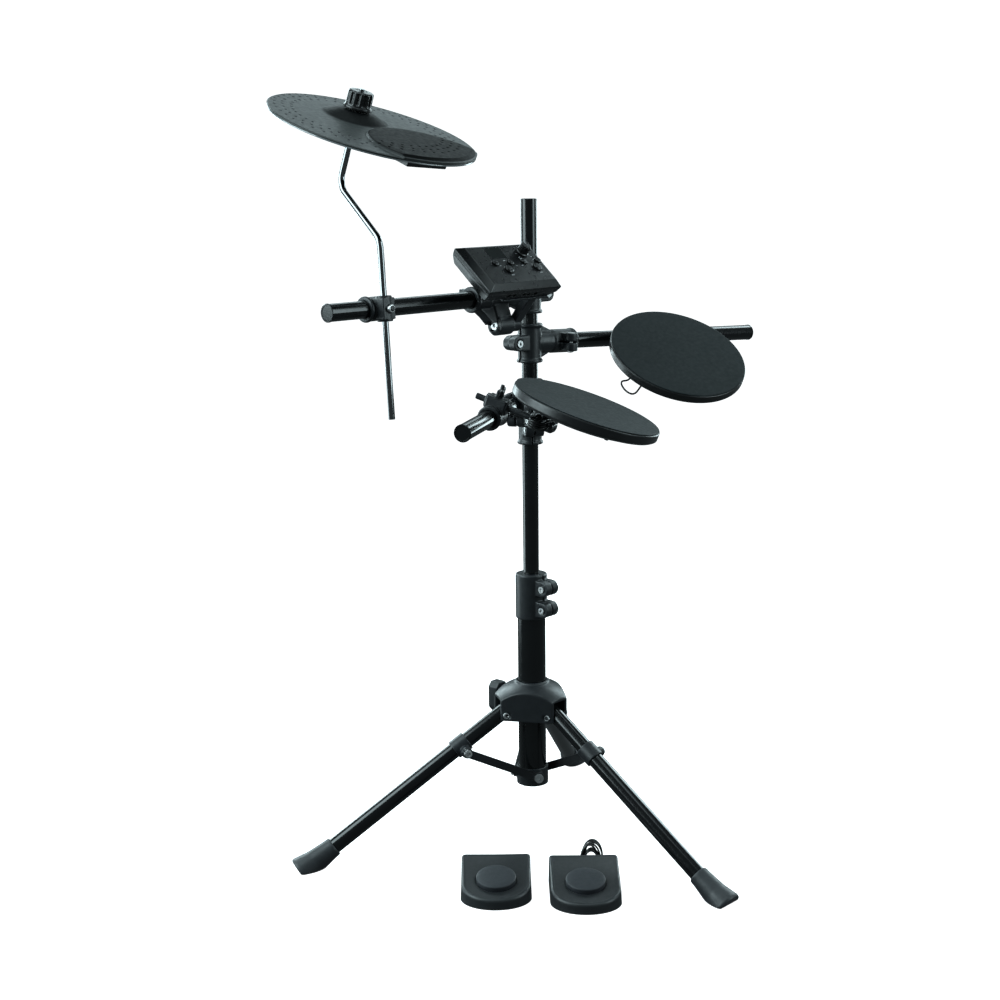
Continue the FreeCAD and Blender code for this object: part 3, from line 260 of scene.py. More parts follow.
M["gloss_cap"] = finish_mat("cap_gloss", (0.0060, 0.0066, 0.0072), (0.0100, 0.0108, 0.0116), (0.20, 0.30), grain=2400, grain_mm=0.006,
                            spec=0.5, coat=0.2, coat_rough=0.08, dust=0.03)
M["bush"] = finish_mat("bush_nylon", (0.020, 0.021, 0.022), (0.030, 0.031, 0.033), (0.40, 0.52), grain=2000, grain_mm=0.02, spec=0.5)
M["disc_rubber"] = finish_mat("pedal_disc_rubber", (0.0125, 0.0150, 0.0190), (0.0175, 0.0205, 0.0255), (0.50, 0.62), grain=1900, grain_mm=0.030,
                              spec=0.45, sheen=0.04, dust=0.05)
M["pedal_case"] = finish_mat("pedal_case", (0.0090, 0.0104, 0.0116), (0.0135, 0.0153, 0.0170), (0.36, 0.48), grain=2200, grain_mm=0.024,
                             spec=0.5, edge=(0.040, 0.046, 0.052), dust=0.04)
M["knob_gloss"] = finish_mat("knob_gloss", (0.0045, 0.0050, 0.0054), (0.0075, 0.0082, 0.0088), (0.24, 0.32), grain=2600, grain_mm=0.003,
                             spec=0.45, coat=0.10, coat_rough=0.10, dust=0.02)
# plate edge: real gloss reflection plus a light grey base colour that is a painted highlight for the bright edge line
M["edge_gloss"] = finish_mat("plate_edge_painted_highlight", (0.17, 0.185, 0.195), (0.22, 0.235, 0.245), (0.10, 0.16), grain=2600, grain_mm=0.002,
                             spec=0.9, coat=0.5, coat_rough=0.05)
M["tie"] = finish_mat("tie_plastic", (0.40, 0.41, 0.42), (0.56, 0.57, 0.58), (0.22, 0.34), grain=1800, grain_mm=0.010, spec=0.5)
M["mark"] = finish_mat("printed_mark", (0.50, 0.51, 0.52), (0.62, 0.63, 0.64), (0.40, 0.50), grain=3000, grain_mm=0.003, spec=0.4)


def glass_mat():
    m, nt, b = tree("display_glass")
    co = nt.nodes.new("ShaderNodeTexCoord")
    sm = noise_tex(nt, co, 40.0, 3.0, 0.5)
    f = remap(nt, sm, "Fac", 0.3, 0.7, 0.0, 1.0)
    col = mix_col(nt, f, "Result", (0.0030, 0.0052, 0.0050), (0.0052, 0.0085, 0.0080))
    nt.links.new(col.outputs[2], b.inputs["Base Color"])
    r = noise_tex(nt, co, 260.0, 2.0, 0.5)
    rr = remap(nt, r, "Fac", 0.3, 0.7, 0.05, 0.12)
    wire(nt, rr, "Result", b, "Roughness")
    b.inputs["Coat Weight"].default_value = 0.6
    b.inputs["Coat Roughness"].default_value = 0.03
    return m


M["glass"] = glass_mat()


# ----------------------------------------------------------------- mesh helpers
def shade(me, angle=35.0):
    me.polygons.foreach_set("use_smooth", [True] * len(me.polygons))
    me.set_sharp_from_angle(angle=rad(angle))
    me.update()


def piece(name, verts, faces, mat, body, mx=None, slot=None, angle=35.0, stands_for=()):
    me = bpy.data.meshes.new(name)
    me.from_pydata([tuple(v) for v in verts], [], faces)
    bm = bmesh.new()
    bm.from_mesh(me)
    bmesh.ops.remove_doubles(bm, verts=bm.verts, dist=1e-5)
    bmesh.ops.recalc_face_normals(bm, faces=bm.faces)
    bm.to_mesh(me)
    bm.free()
    if mx is not None:
        me.transform(mx)
    shade(me, angle)
    me.materials.append(mat)
    ob = bpy.data.objects.new(name, me)
    SC.collection.objects.link(ob)
    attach(ob, body)
    if stands_for:
        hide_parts(*stands_for)
    return ob


def lathe(profile, segs=96, wobble=None):
    """Closed surface of revolution about local z through (r, z) points; wobble(theta, r, z) may change r."""
    verts, faces, rings = [], [], []
    for r, z in profile:
        if r <= 1e-9:
            rings.append([len(verts)])
            verts.append((0.0, 0.0, z))
            continue
        ring = []
        for i in range(segs):
            t = 2 * math.pi * i / segs
            q = wobble(t, r, z) if wobble else r
            ring.append(len(verts))
            verts.append((q * math.cos(t), q * math.sin(t), z))
        rings.append(ring)
    pairs = list(zip(rings, rings[1:]))
    if len(rings[0]) > 1 or len(rings[-1]) > 1:
        pairs.append((rings[-1], rings[0]))
    for a, b in pairs:
        if len(a) == 1 and len(b) == 1:
            continue
        for i in range(segs):
            j = (i + 1) % segs
            if len(a) == 1:
                faces.append((a[0], b[i], b[j]))
            elif len(b) == 1:
                faces.append((a[i], a[j], b[0]))
            else:
                faces.append((a[i], a[j], b[j], b[i]))
    return verts, faces


def moved(vf, m):
    return [m @ Vector(v) for v in vf[0]], vf[1]


def joined(*parts):
    verts, faces = [], []
    for v, f in parts:
        o = len(verts)
        verts += [tuple(p) for p in v]
        faces += [tuple(i + o for i in q) for q in f]
    return verts, faces


def arc(cx_, cz_, r, a0, a1, n):
    return [(cx_ + r * math.cos(rad(a0 + (a1 - a0) * i / n)), cz_ + r * math.sin(rad(a0 + (a1 - a0) * i / n))) for i in range(n + 1)]


def rounded_box(x0, x1, y0, y1, z0, z1, r=1.0, seg=3):
    bm = bmesh.new()
    bmesh.ops.create_cube(bm, size=1.0)
    for v in bm.verts:
        v.co = Vector(((x0 + x1) / 2 + v.co.x * (x1 - x0), (y0 + y1) / 2 + v.co.y * (y1 - y0), (z0 + z1) / 2 + v.co.z * (z1 - z0)))
    bmesh.ops.bevel(bm, geom=list(bm.edges), offset=r, segments=seg, profile=0.5, affect="EDGES", clamp_overlap=True)
    bm.verts.ensure_lookup_table()
    bm.verts.index_update()
    out = [tuple(v.co) for v in bm.verts], [tuple(v.index for v in f.verts) for f in bm.faces]
    bm.free()
    return out


def moulded(node, body, mat, voxel=1.1, rounds=6):
    """The node's shape with every edge and inner corner rounded as a moulding has them."""
    src = frame["nodes"][node]
    me = src.data.copy()
    bm = bmesh.new()
    bm.from_mesh(me)
    bmesh.ops.remove_doubles(bm, verts=bm.verts, dist=2e-6)
    bm.to_mesh(me)
    bm.free()
    ob = bpy.data.objects.new(node + "_m", me)
    SC.collection.objects.link(ob)
    rm = ob.modifiers.new("remesh", "REMESH")
    rm.mode = "VOXEL"
    rm.voxel_size = voxel * MM
    rm.adaptivity = 0.0
    sm = ob.modifiers.new("smooth", "SMOOTH")
    sm.factor = 0.5
    sm.iterations = rounds
    bpy.context.view_layer.update()
    dg = bpy.context.evaluated_depsgraph_get()
    done = bpy.data.meshes.new_from_object(ob.evaluated_get(dg))
    ob.modifiers.clear()
    ob.data = done
    done.name = node + "_m"
    done.materials.clear()
    done.materials.append(mat)
    shade(done, 60.0)
    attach(ob, body)
    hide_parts(node)
    return ob


# ----------------------------------------------------------------------- leads
LEAD_D = 3.0


def turn_points(A, B, n, first, z0, z1, cx_=0.0, cy_=0.0):
    """Coil of n turns of an oblong loop (half length A along x, half width B along y), rising from z0 to z1."""
    loop = []
    q = B / math.cos(rad(18))
    for i in range(6):
        t = rad(-90 + 36 * i)
        loop.append((A - B + q * math.cos(t), q * math.sin(t)))
    loop.append((0.0, B))
    for i in range(6):
        t = rad(90 + 36 * i)
        loop.append((-A + B + q * math.cos(t), q * math.sin(t)))
    loop.append((0.0, -B))
    total = int(round(n * len(loop)))
    return [(cx_ + loop[(first + i) % len(loop)][0], cy_ + loop[(first + i) % len(loop)][1], z0 + (z1 - z0) * i / total) for i in range(total + 1)]


def lead(name, pts, mx, body, node_name):
    cu = bpy.data.curves.new(name, "CURVE")
    cu.dimensions = "3D"
    cu.bevel_depth = LEAD_D * MM / 2
    cu.bevel_resolution = 4
    cu.resolution_u = 6
    cu.use_fill_caps = True
    sp = cu.splines.new("NURBS")
    sp.points.add(len(pts) - 1)
    for p, c in zip(sp.points, pts):
        w = mx @ Vector(c)
        p.co = (w.x, w.y, w.z, 1.0)
    sp.order_u = 3
    sp.use_endpoint_u = True
    cu.materials.append(M["lead"])
    ob = bpy.data.objects.new(name, cu)
    SC.collection.objects.link(ob)
    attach(ob, body)
    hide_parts(node_name)
    return ob


def jack_plug(name, p, d, mx, body):
    """Moulded plug with a ribbed tail and a turned metal tip; p and d as the CAD solid has them."""
    u = Vector(d).normalized()
    side = Vector((0, 0, 1)) if abs(u.z) < 0.9 else Vector((1, 0, 0))
    z = u
    x = (side - z * side.dot(z)).normalized()
    y = z.cross(x)
    lm = Matrix(((x.x, y.x, z.x, p[0]), (x.y, y.y, z.y, p[1]), (x.z, y.z, z.z, p[2]), (0, 0, 0, 1)))
    tail = [(0.0, -8.0), (1.7, -8.0)]
    for i in range(4):
        a = -7.6 + i * 1.9
        r = 1.85 + 0.30 * i
        tail += [(r, a), (r, a + 1.0), (r - 0.45, a + 1.15), (r - 0.45, a + 1.75)]
    body_pf = tail + [(3.0, 0.1), (4.0, 0.3), (4.6, 1.0), (4.6, 7.0), (4.2, 7.4), (4.2, 8.2), (4.6, 8.6), (4.6, 20.6), (4.2, 21.6), (3.4, 22.0), (0.0, 22.0)]
    b = piece(name + "_body", *lathe(body_pf, 40), M["lead"], body, mx @ lm, "lead")
    tip_pf = [(0.0, 21.4), (3.1, 21.4), (3.1, 24.0), (2.9, 24.2), (2.9, 30.4), (2.7, 30.6), (2.7, 31.0), (2.9, 31.2), (2.9, 32.0), (2.1, 32.8), (1.9, 33.4), (2.6, 34.2), (2.5, 35.0), (1.4, 35.9), (0.0, 36.0)]
    t = piece(name + "_tip", *lathe(tip_pf, 32), M["zinc"], body, mx @ lm)
    return [b, t]


def tie_band(name, cx_, cy_, cz_, hx, hy, hz, mx, body):
    """Thin strap round a hank, in the local y-z plane, with a small twisted end."""
    n = 48
    prof = []
    for i in range(n):
        t = 2 * math.pi * i / n
        c, s = math.cos(t), math.sin(t)
        k = (abs(c) ** 4 + abs(s) ** 4) ** -0.25
        prof.append((hy * c * k, hz * s * k))
    verts, faces = [], []
    for i, (a, b) in enumerate(prof):
        l = math.hypot(a, b)
        o = (a * (1 + 0.8 / l), b * (1 + 0.8 / l))
        for x, q in ((-hx, (a, b)), (-hx, o), (hx, o), (hx, (a, b))):
            verts.append((cx_ + x, cy_ + q[0], cz_ + q[1]))
    for i in range(n):
        j = (i + 1) % n
        for k in range(4):
            m = (k + 1) % 4
            faces.append((4 * i + k, 4 * i + m, 4 * j + m, 4 * j + k))
    tail = rounded_box(cx_ - hx * 0.8, cx_ + hx * 0.8, cy_ - hy - 6.0, cy_ - hy + 0.4, cz_ - 0.9, cz_ + 0.9, 0.4, 2)
    return piece(name, *joined((verts, faces), tail), M["tie"], body, mx)


# tom: short loop below the gland, run under the shell, hank on the far side
pl = jack_plug("tom_plug", (40.0, 3.5, -40.0), (1, 0, 0), TOM, "tom")
HX, HY = 52.0, 20.0
run = [(-80.0, 4.0, -32.0), (-80.0, 4.0, -42.5), (-97.0, 8.0, -42.5), (-101.0, -12.0, -45.5), (-94.0, -29.0, -44.0), (-76.0, -19.0, -34.0),
       (-58.0, -14.0, -28.0), (20.0, 17.0, -28.0), (42.0, 20.0, -28.0), (42.0, 20.0, -41.0), (46.0, 17.0, -49.0), (60.0, 14.0, -50.0)]
inner = turn_points(28.0, 6.3, 3.0, 0, -50.0, -34.4, HX, HY)
outer = turn_points(31.5, 9.6, 61 / 14, 1, -34.0, -47.6, HX, HY)
end = [(-24.0, 9.4, -48.0), (-32.0, 7.0, -47.6), (-35.4, -2.0, -46.0), (-33.4, -12.0, -43.0), (-27.0, -16.4, -40.4), (-20.0, -16.5, -40.0)]
end = [(x + HX, y + HY, z) for x, y, z in end]
tie = tie_band("tom_tie", HX + 4.0, HY, -42.2, 1.7, 12.2, 10.8, TOM, "tom")
lead("tom_lead_cord", run + inner + outer + end, TOM, "tom", "tom_lead")

# snare: longer flat hank under the shell
pl = jack_plug("snare_plug", (-52.0, 31.0, -39.0), (1, 0, 0), SNR, "snare")
hk = SNR @ Matrix.Translation((-34.0, 48.0, 0.0))
inner = turn_points(35.0, 6.3, 3.0, 0, -46.0, -34.4)
outer = turn_points(38.5, 9.6, 51 / 14, 1, -34.0, -45.8)
start = [(0.0, 0.0, -32.0), (0.0, 0.0, -37.0), (2.5, -0.6, -42.5), (13.0, -4.0, -45.8)]
end = [(-37.4, -9.6, -45.4), (-34.8, -15.6, -43.0), (-30.4, -17.4, -40.0), (-26.0, -17.0, -39.0)]
tie = tie_band("snare_tie", 6.0, 0.0, -40.2, 1.7, 12.2, 8.8, hk, "snare")
lead("snare_lead_cord", start + inner + outer + end, hk, "snare", "snare_lead")

# right pedal: upright coil behind the case, loops of different size
PR = ped_axes("right")
pl = jack_plug("pedal_plug", (-16.0, 85.5, 5.2), (-1, 0.3, 0), PR, "pedal_right")


def loops(rows, first, last, k=14):
    """Upright loops; rows are (middle x, width, height, y) and each turn eases from one row to the next."""
    pts = []
    q = 1 / math.cos(math.pi / k)
    n = len(rows) - 1
    for i in range(first, n * k + 1 - last):
        f = i / k
        a = min(max(int(f), 0), n - 1)
        t = f - a
        cx_, w, h, y = [rows[a][j] * (1 - t) + rows[a + 1][j] * t for j in range(4)]
        ph = -math.pi / 2 - 2 * math.pi * f
        pts.append((cx_ + (w - LEAD_D) / 2 * q * math.cos(ph), y, 0.3 + h / 2 + (h - LEAD_D) / 2 * (math.sin(ph) * q if math.sin(ph) > 0 else math.sin(ph))))
    return pts


inner = loops([(15, 25, 40, 92.2), (14, 25, 39, 89.0), (15, 25, 41, 85.8), (14, 25, 39, 82.6), (13, 25, 40, 79.4), (13, 25, 40, 76.6)], 0, 1)
outer = loops([(12, 30, 50, 76.6), (9, 27.5, 49, 79.8), (14, 33, 52, 83.0), (18, 29, 50, 86.2), (15, 34, 54, 89.4), (16, 32, 52, 92.8)], 1, 0)
start = [(14.0, 74.5, 12.0), (14.0, 79.0, 12.0), (18.7, 80.2, 15.2), (25.2, 88.3, 11.0), (20.9, 93.3, 4.3)]
end = [(9.0, 92.8, 1.7), (3.0, 90.8, 1.8), (-0.5, 86.4, 2.8), (-3.5, 82.8, 4.4), (-8.3, 83.2, 5.2)]
lead("pedal_lead_cord", start + inner + outer + end, PR, "pedal_right", "pedal_lead")


def gland(name, x, y, z, mx, body, slot="pad_shell", h=9.0):
    pf = [(0.0, 0.4), (5.5, 0.4), (5.5, -1.2), (4.9, -1.8)]
    for i in range(3):
        a = -2.4 - i * 2.1
        pf += [(4.7 - 0.5 * i, a), (4.7 - 0.5 * i, a - 1.1), (4.1 - 0.5 * i, a - 1.3), (4.1 - 0.5 * i, a - 1.9)]
    pf += [(2.6, -h), (1.55, -h), (1.55, -h + 3.0), (0.0, -h + 3.0)]
    return piece(name, *moved(lathe(pf, 36), Matrix.Translation((x, y, z))), M["moulding"], body, mx)


# ------------------------------------------------------------------- drum pads
PAD_R, WALL, DEEP = 109.0, 17.0, 23.0


def drum_pad(prefix, mx, body, mount_x, h, gl):
    R = PAD_R
    # shell: soft-edged rim, drafted wall, dished base with stiffening rings
    pf = [(R - 4.6, -5.2), (R - 4.6, -2.15)] + arc(R - 1.7, -3.85, 1.7, 90, 0, 7)
    pf += [(R, -6.0), (R - 0.15, -WALL + 5.4)] + arc(R - 3.2, -WALL + 4.2, 3.1, -4, -62, 6)
    pf += [(R - 5.0, -WALL - 0.7), (R - 16, -WALL - 3.4), (R - 24, -DEEP + 0.6), (R - 27, -DEEP), (72.0, -DEEP), (71.2, -DEEP - 0.9), (68.8, -DEEP - 0.9),
           (68.0, -DEEP), (30.0, -DEEP), (29.2, -DEEP - 0.9), (26.8, -DEEP - 0.9), (26.0, -DEEP), (0.0, -DEEP)]
    pf += [(0.0, -DEEP + 2.6), (R - 27, -DEEP + 2.6), (R - 5.4, -WALL + 2.4), (R - 2.8, -WALL + 5), (R - 2.8, -5.2)]
    shell_v, shell_f = lathe_open(pf, 192)
    low = h + 9.5
    mount = rounded_box(mount_x - 12, mount_x + 12, 40, 76, -low, -DEEP + 0.6, 3.4, 4)
    ribs = [rounded_box(mount_x - 1.6 + dx, mount_x + 1.6 + dx, 30, 42, -DEEP - 11, -DEEP + 0.4, 1.2, 3) for dx in (-8.0, 8.0)]
    sh = piece(prefix + "_shell_m", shell_v, shell_f, M["pad_shell"], body, mx, "pad_shell", 40.0, (prefix + "_shell",))
    piece(prefix + "_mount", *joined(mount, *ribs), M["pad_shell"], body, mx, "pad_shell", 40.0)
    # collar where the rod enters the mount
    col = lathe([(5.0, 0.0), (8.4, 0.0), (8.4, 2.2), (7.6, 3.0), (5.0, 3.0)], 40)
    piece(prefix + "_mount_collar", *moved(col, Matrix.Translation((mount_x, 75.6, -h)) @ Matrix.Rotation(rad(-90), 4, "X")), M["pad_shell"], body, mx)
    gland(prefix + "_gland", gl[0], gl[1], -DEEP, mx, body)
    # head: slightly crowned rubber whose rolled edge lies on the rim
    hp = [(0.0, -6.6), (R - 5.2, -6.6), (R - 5.0, -6.2), (R - 5.0, -2.15), (R - 2.0, -2.15)] + arc(R - 2.0, -1.3, 0.8, -80, 80, 10)
    hp += [(R - 4.0, -0.46), (R - 12, -0.40), (R - 30, -0.2), (50.0, -0.08), (25.0, -0.02), (0.0, 0.0)]
    piece(prefix + "_head_m", *lathe(hp, 192), M["head_rubber"], body, mx, "head_rubber", 50.0, (prefix + "_head",))
    # six screws that close the base
    for i in range(6):
        t = rad(60 * i + 42)
        sp = [(0.0, 0.3), (3.4, 0.3), (3.4, -0.9), (2.6, -1.7), (1.6, -1.9), (1.3, -1.2), (0.0, -1.2)]
        piece("%s_screw_%d" % (prefix, i + 1), *moved(lathe(sp, 24), Matrix.Translation((79.0 * math.cos(t), 79.0 * math.sin(t), -DEEP))), M["black_steel"], body, mx)
    return sh


def lathe_open(pf, segs):
    """Surface of revolution of a closed profile that touches the axis between its two halves."""
    k = next(i for i, p in enumerate(pf) if p[0] <= 1e-9)
    return lathe(pf, segs) if k in (0, len(pf) - 1) else lathe_split(pf, segs)


def lathe_split(pf, segs):
    verts, faces, rings = [], [], []
    for r, z in pf:
        if r <= 1e-9:
            rings.append([len(verts)])
            verts.append((0.0, 0.0, z))
        else:
            rings.append([len(verts) + i for i in range(segs)])
            for i in range(segs):
                t = 2 * math.pi * i / segs
                verts.append((r * math.cos(t), r * math.sin(t), z))
    n = len(rings)
    for q in range(n):
        a, b = rings[q], rings[(q + 1) % n]
        if len(a) == 1 and len(b) == 1:
            continue
        for i in range(segs):
            j = (i + 1) % segs
            if len(a) == 1:
                faces.append((a[0], b[i], b[j]))
            elif len(b) == 1:
                faces.append((a[i], a[j], b[0]))
            else:
                faces.append((a[i], a[j], b[j], b[i]))
    return verts, faces


drum_pad("tom", TOM, "tom", 14.0, 33.06, (-80.0, 4.0))
drum_pad("snare", SNR, "snare", 24.0, 52.48, (-34.0, 48.0))

# ---------------------------------------------------------------------- cymbal
ECC, CR = 42.0, 150.0
ZONE = (30.0, -140.0, 94.0)


def step(a, b, x):
    t = max(0.0, min(1.0, (x - a) / (b - a)))
    return t * t * (3 - 2 * t)


DOTS = []                                                     # three rings of small pits, each group of three slanted
for r, ph in ((132.0, 183.0), (120.5, 185.8), (107.5, 188.6)):
    for i in range(46):
        t = rad(ph + 360.0 * i / 46)
        DOTS.append((r * math.cos(t), -28.0 + r * math.sin(t), t))
GRID = {}
for d in DOTS:
    GRID.setdefault((int(d[0] // 6), int(d[1] // 6)), []).append(d)


def dimple(x, y):
    gx, gy = int(x // 6), int(y // 6)
    out = 0.0
    for i in (-1, 0, 1):
        for j in (-1, 0, 1):
            for dx, dy, t in GRID.get((gx + i, gy + j), ()):
                ex, ey = x - dx, y - dy
                a = ex * -math.sin(t) + ey * math.cos(t)      # along the rim
                b = ex * math.cos(t) + ey * math.sin(t)       # across it
                q = math.hypot(a / 2.2, b / 2.7)
                if q < 1.0:
                    out = max(out, step(1.0, 0.45, q) if q > 0.45 else 1.0)
    return out


def skin_z(x, y):
    rim = CR - math.hypot(x, y + ECC)
    z = 1.6 - 0.9 * (1 - step(0.0, 1.6, rim)) + 0.5 * step(6.0, 60.0, rim)
    h = math.hypot(x, y)
    bell = 0.0
    if h < 52.0:
        pts = ((0, 12.6), (17, 12.4), (26, 10.6), (36, 6.8), (44, 3.2), (49.0, 2.15), (52.0, 2.0))
        for (a, za), (b, zb) in zip(pts, pts[1:]):
            if a <= h <= b:
                t = (h - a) / (b - a)
                bell = za + (zb - za) * t
                break
        z = max(z, bell)
    zd = ZONE[2] - math.hypot(x - ZONE[0], y - ZONE[1])
    if zd > 0:
        lift = 5.0 * step(0.0, 4.6, zd) + 0.7 * step(3.0, 16.0, zd) + 0.2 * step(9.0, 60.0, zd)
        cap = 1.2 + 4.6 * step(0.6, 12.0, rim)
        z = max(z, min(1.9 + lift * 0.72, 1.4 + cap))
    return z


def cymbal_skin():
    T = 900
    rows = [("abs", 8.0 + 1.25 * i) for i in range(40)]                   # 8 .. 56.75, round the bell
    rows += [("mix", i / 120.0) for i in range(1, 121)]                   # on to 2.2 in from the rim
    rows += [("rim", 1.6), ("rim", 0.9), ("rim", 0.35), ("rim", 0.0)]
    verts, faces, rings = [], [], []
    dirs = []
    for i in range(T):
        t = 2 * math.pi * i / T
        dx, dy = math.cos(t), math.sin(t)
        b = dy * ECC
        dirs.append((dx, dy, -b + math.sqrt(b * b - ECC * ECC + CR * CR)))
    for kind, v in rows:
        ring = []
        for dx, dy, far in dirs:
            r = v if kind == "abs" else (far - v if kind == "rim" else 57.0 + (far - 2.2 - 57.0) * v)
            x, y = r * dx, r * dy
            z = skin_z(x, y)
            if kind == "mix":
                z -= 1.2 * dimple(x, y)
            ring.append(len(verts))
            verts.append((x, y, z))
        rings.append(ring)
    ring = []
    for dx, dy, far in dirs:
        ring.append(len(verts))
        verts.append(((far - 0.4) * dx, (far - 0.4) * dy, -1.15))
    rings.append(ring)
    ring = []
    for dx, dy, far in dirs:
        ring.append(len(verts))
        verts.append((8.0 * dx, 8.0 * dy, -1.15))
    rings.append(ring)
    n = len(rings)
    for q in range(n):
        a, b = rings[q], rings[(q + 1) % n]
        for i in range(T):
            j = (i + 1) % T
            faces.append((a[i], a[j], b[j], b[i]))
    return verts, faces


skin = piece("cymbal_skin_m", *cymbal_skin(), M["cymbal_skin"], "cymbal", CYM, "cymbal_skin", 70.0, ("cymbal_rubber",))
to_cym = CYM.inverted()
# painted shade: this vertex attribute marks the dimples, the strike zone and the bell, which the skin material paints
# near-black and dulls, standing in for shade in the pits and dark reflections on the zone and bell
painted_shade = skin.data.attributes.new("painted_shade", "FLOAT", "POINT")
for v_ in skin.data.vertices:
    q_ = to_cym @ v_.co
    if q_.z > -1.0 and CR - math.hypot(q_.x, q_.y + ECC) > 3.0:
        zone_ = step(0.0, 5.0, ZONE[2] - math.hypot(q_.x - ZONE[0], q_.y - ZONE[1]))
        bell_ = 0.90 * step(51.0, 45.0, math.hypot(q_.x, q_.y))
        painted_shade.data[v_.index].value = max(dimple(q_.x, q_.y), zone_, bell_)
# rolled edge of the plate under the skin; its glossy finish catches real highlights, and its light grey colour is a
# painted highlight along the edge
bead = lathe([(147.2, -1.3)] + arc(148.5, -2.35, 1.15, 80, -80, 10) + [(147.2, -3.5)], 240)
piece("cymbal_edge", *moved(bead, Matrix.Translation((0.0, -ECC, 0.0))), M["edge_gloss"], "cymbal", CYM, None, 50.0)


# knob: fluted grip on a plain skirt
def knob_r(t, r, z):
    if r < 15.0 or z < 20.4 or z > 39.0:
        return r
    u = (t * 12 / (2 * math.pi)) % 1.0
    d = abs(u - 0.5) * 2.0                                    # 1 on a ridge, 0 in a flute
    deep = 2.3 * step(20.4, 22.6, z) * (1 - step(36.8, 38.9, z))
    return r - deep * (1 - step(0.10, 0.78, d))


kp = [(4.06, 14.7), (18.8, 14.7)] + arc(19.4, 15.8, 1.1, -80, 0, 4) + arc(19.4, 17.6, 1.1, 10, 80, 4)
kp += [(18.9, 19.2), (18.7, 20.4), (18.65, 21.0), (18.6, 21.8), (18.55, 22.6)] + [(18.55 - 0.025 * i, 22.6 + 1.42 * i) for i in range(1, 11)]
kp += [(18.2, 37.6), (17.9, 38.3), (17.3, 38.9), (16.2, 39.5), (14.5, 39.8), (9.0, 39.9), (8.2, 39.2), (6.8, 39.2), (6.4, 39.9), (4.06, 39.9)]
piece("cymbal_knob_m", *lathe(kp, 288, knob_r), M["knob_gloss"], "cymbal_knob", CYM, "gloss_cap", 40.0, ("cymbal_knob",))

# ---------------------------------------------------------------------- module
for n_ in ("module_front", "module_rear"):
    moulded(n_, "module", M["case_plastic"], 0.75, 4)
glass = rounded_box(-15.3 - 16.7, -15.3 + 16.7, 23.5 - 11.0, 23.5 + 11.0, -0.9, 0.03, 0.02, 1)
piece("module_display", *glass, M["glass"], "module", MOD)
marks = []
for x, y, w in ((-40.6, 2.0, 1.6), (-24.4, -2.6, 2.2), (-9.0, 7.4, 4.2), (8.2, -4.8, 2.0), (20.0, -4.8, 4.4), (28.0, 9.4, 5.0), (50.5, 4.6, 1.6), (66.4, -3.2, 4.6),
                (-14.5, -22.8, 5.2), (46.9, -21.8, 5.6), (52.6, 12.0, 2.2), (26.4, 12.0, 2.2)):
    marks.append(rounded_box(x - w / 2, x + w / 2, y - 0.45, y + 0.45, -0.1, 0.06, 0.03, 1))
for i in range(9):
    t = rad(-125 + 250 * i / 8 + 90)
    cx_, cy_ = 39.5 + 13.2 * math.cos(t), 21.0 + 13.2 * math.sin(t)
    tick = moved(rounded_box(-1.0, 1.0, -0.22, 0.22, -0.1, 0.06, 0.03, 1), Matrix.Translation((cx_, cy_, 0)) @ Matrix.Rotation(t, 4, "Z"))
    marks.append(tick)
piece("module_marks", *joined(*marks), M["mark"], "module", MOD)
ptr = rounded_box(39.5 - 0.5, 39.5 + 0.5, 21.0 + 2.4, 21.0 + 7.0, 15.3, 15.75, 0.2, 2)
piece("module_knob_pointer", *ptr, M["mark"], "module_knob", MOD)


# ---------------------------------------------------------------------- pedals
def d_outline(depth, n=160):
    """Plan of the case as directions from the disc's middle: distance to the wall for each angle."""
    w, d = 53.5, depth / 2
    y1 = -d + 44.0
    cy0 = -9.0
    out = []
    for i in range(n):
        t = 2 * math.pi * i / n
        dx, dy = math.cos(t), math.sin(t)
        lo_, hi_ = 0.0, 140.0
        for _ in range(40):
            m = (lo_ + hi_) / 2
            x, y = m * dx, cy0 + m * dy
            inside = abs(x) <= w and y <= d
            if y < y1:
                inside = inside and (x / w) ** 2 + ((y - y1) / 44.0) ** 2 <= 1.0
            if y > d - 5.0:
                k = 5.0
                ax_ = max(abs(x) - (w - k), 0.0)
                ay_ = max(y - (d - k), 0.0)
                inside = inside and math.hypot(ax_, ay_) <= k
            if inside:
                lo_ = m
            else:
                hi_ = m
        out.append((dx, dy, lo_))
    return out


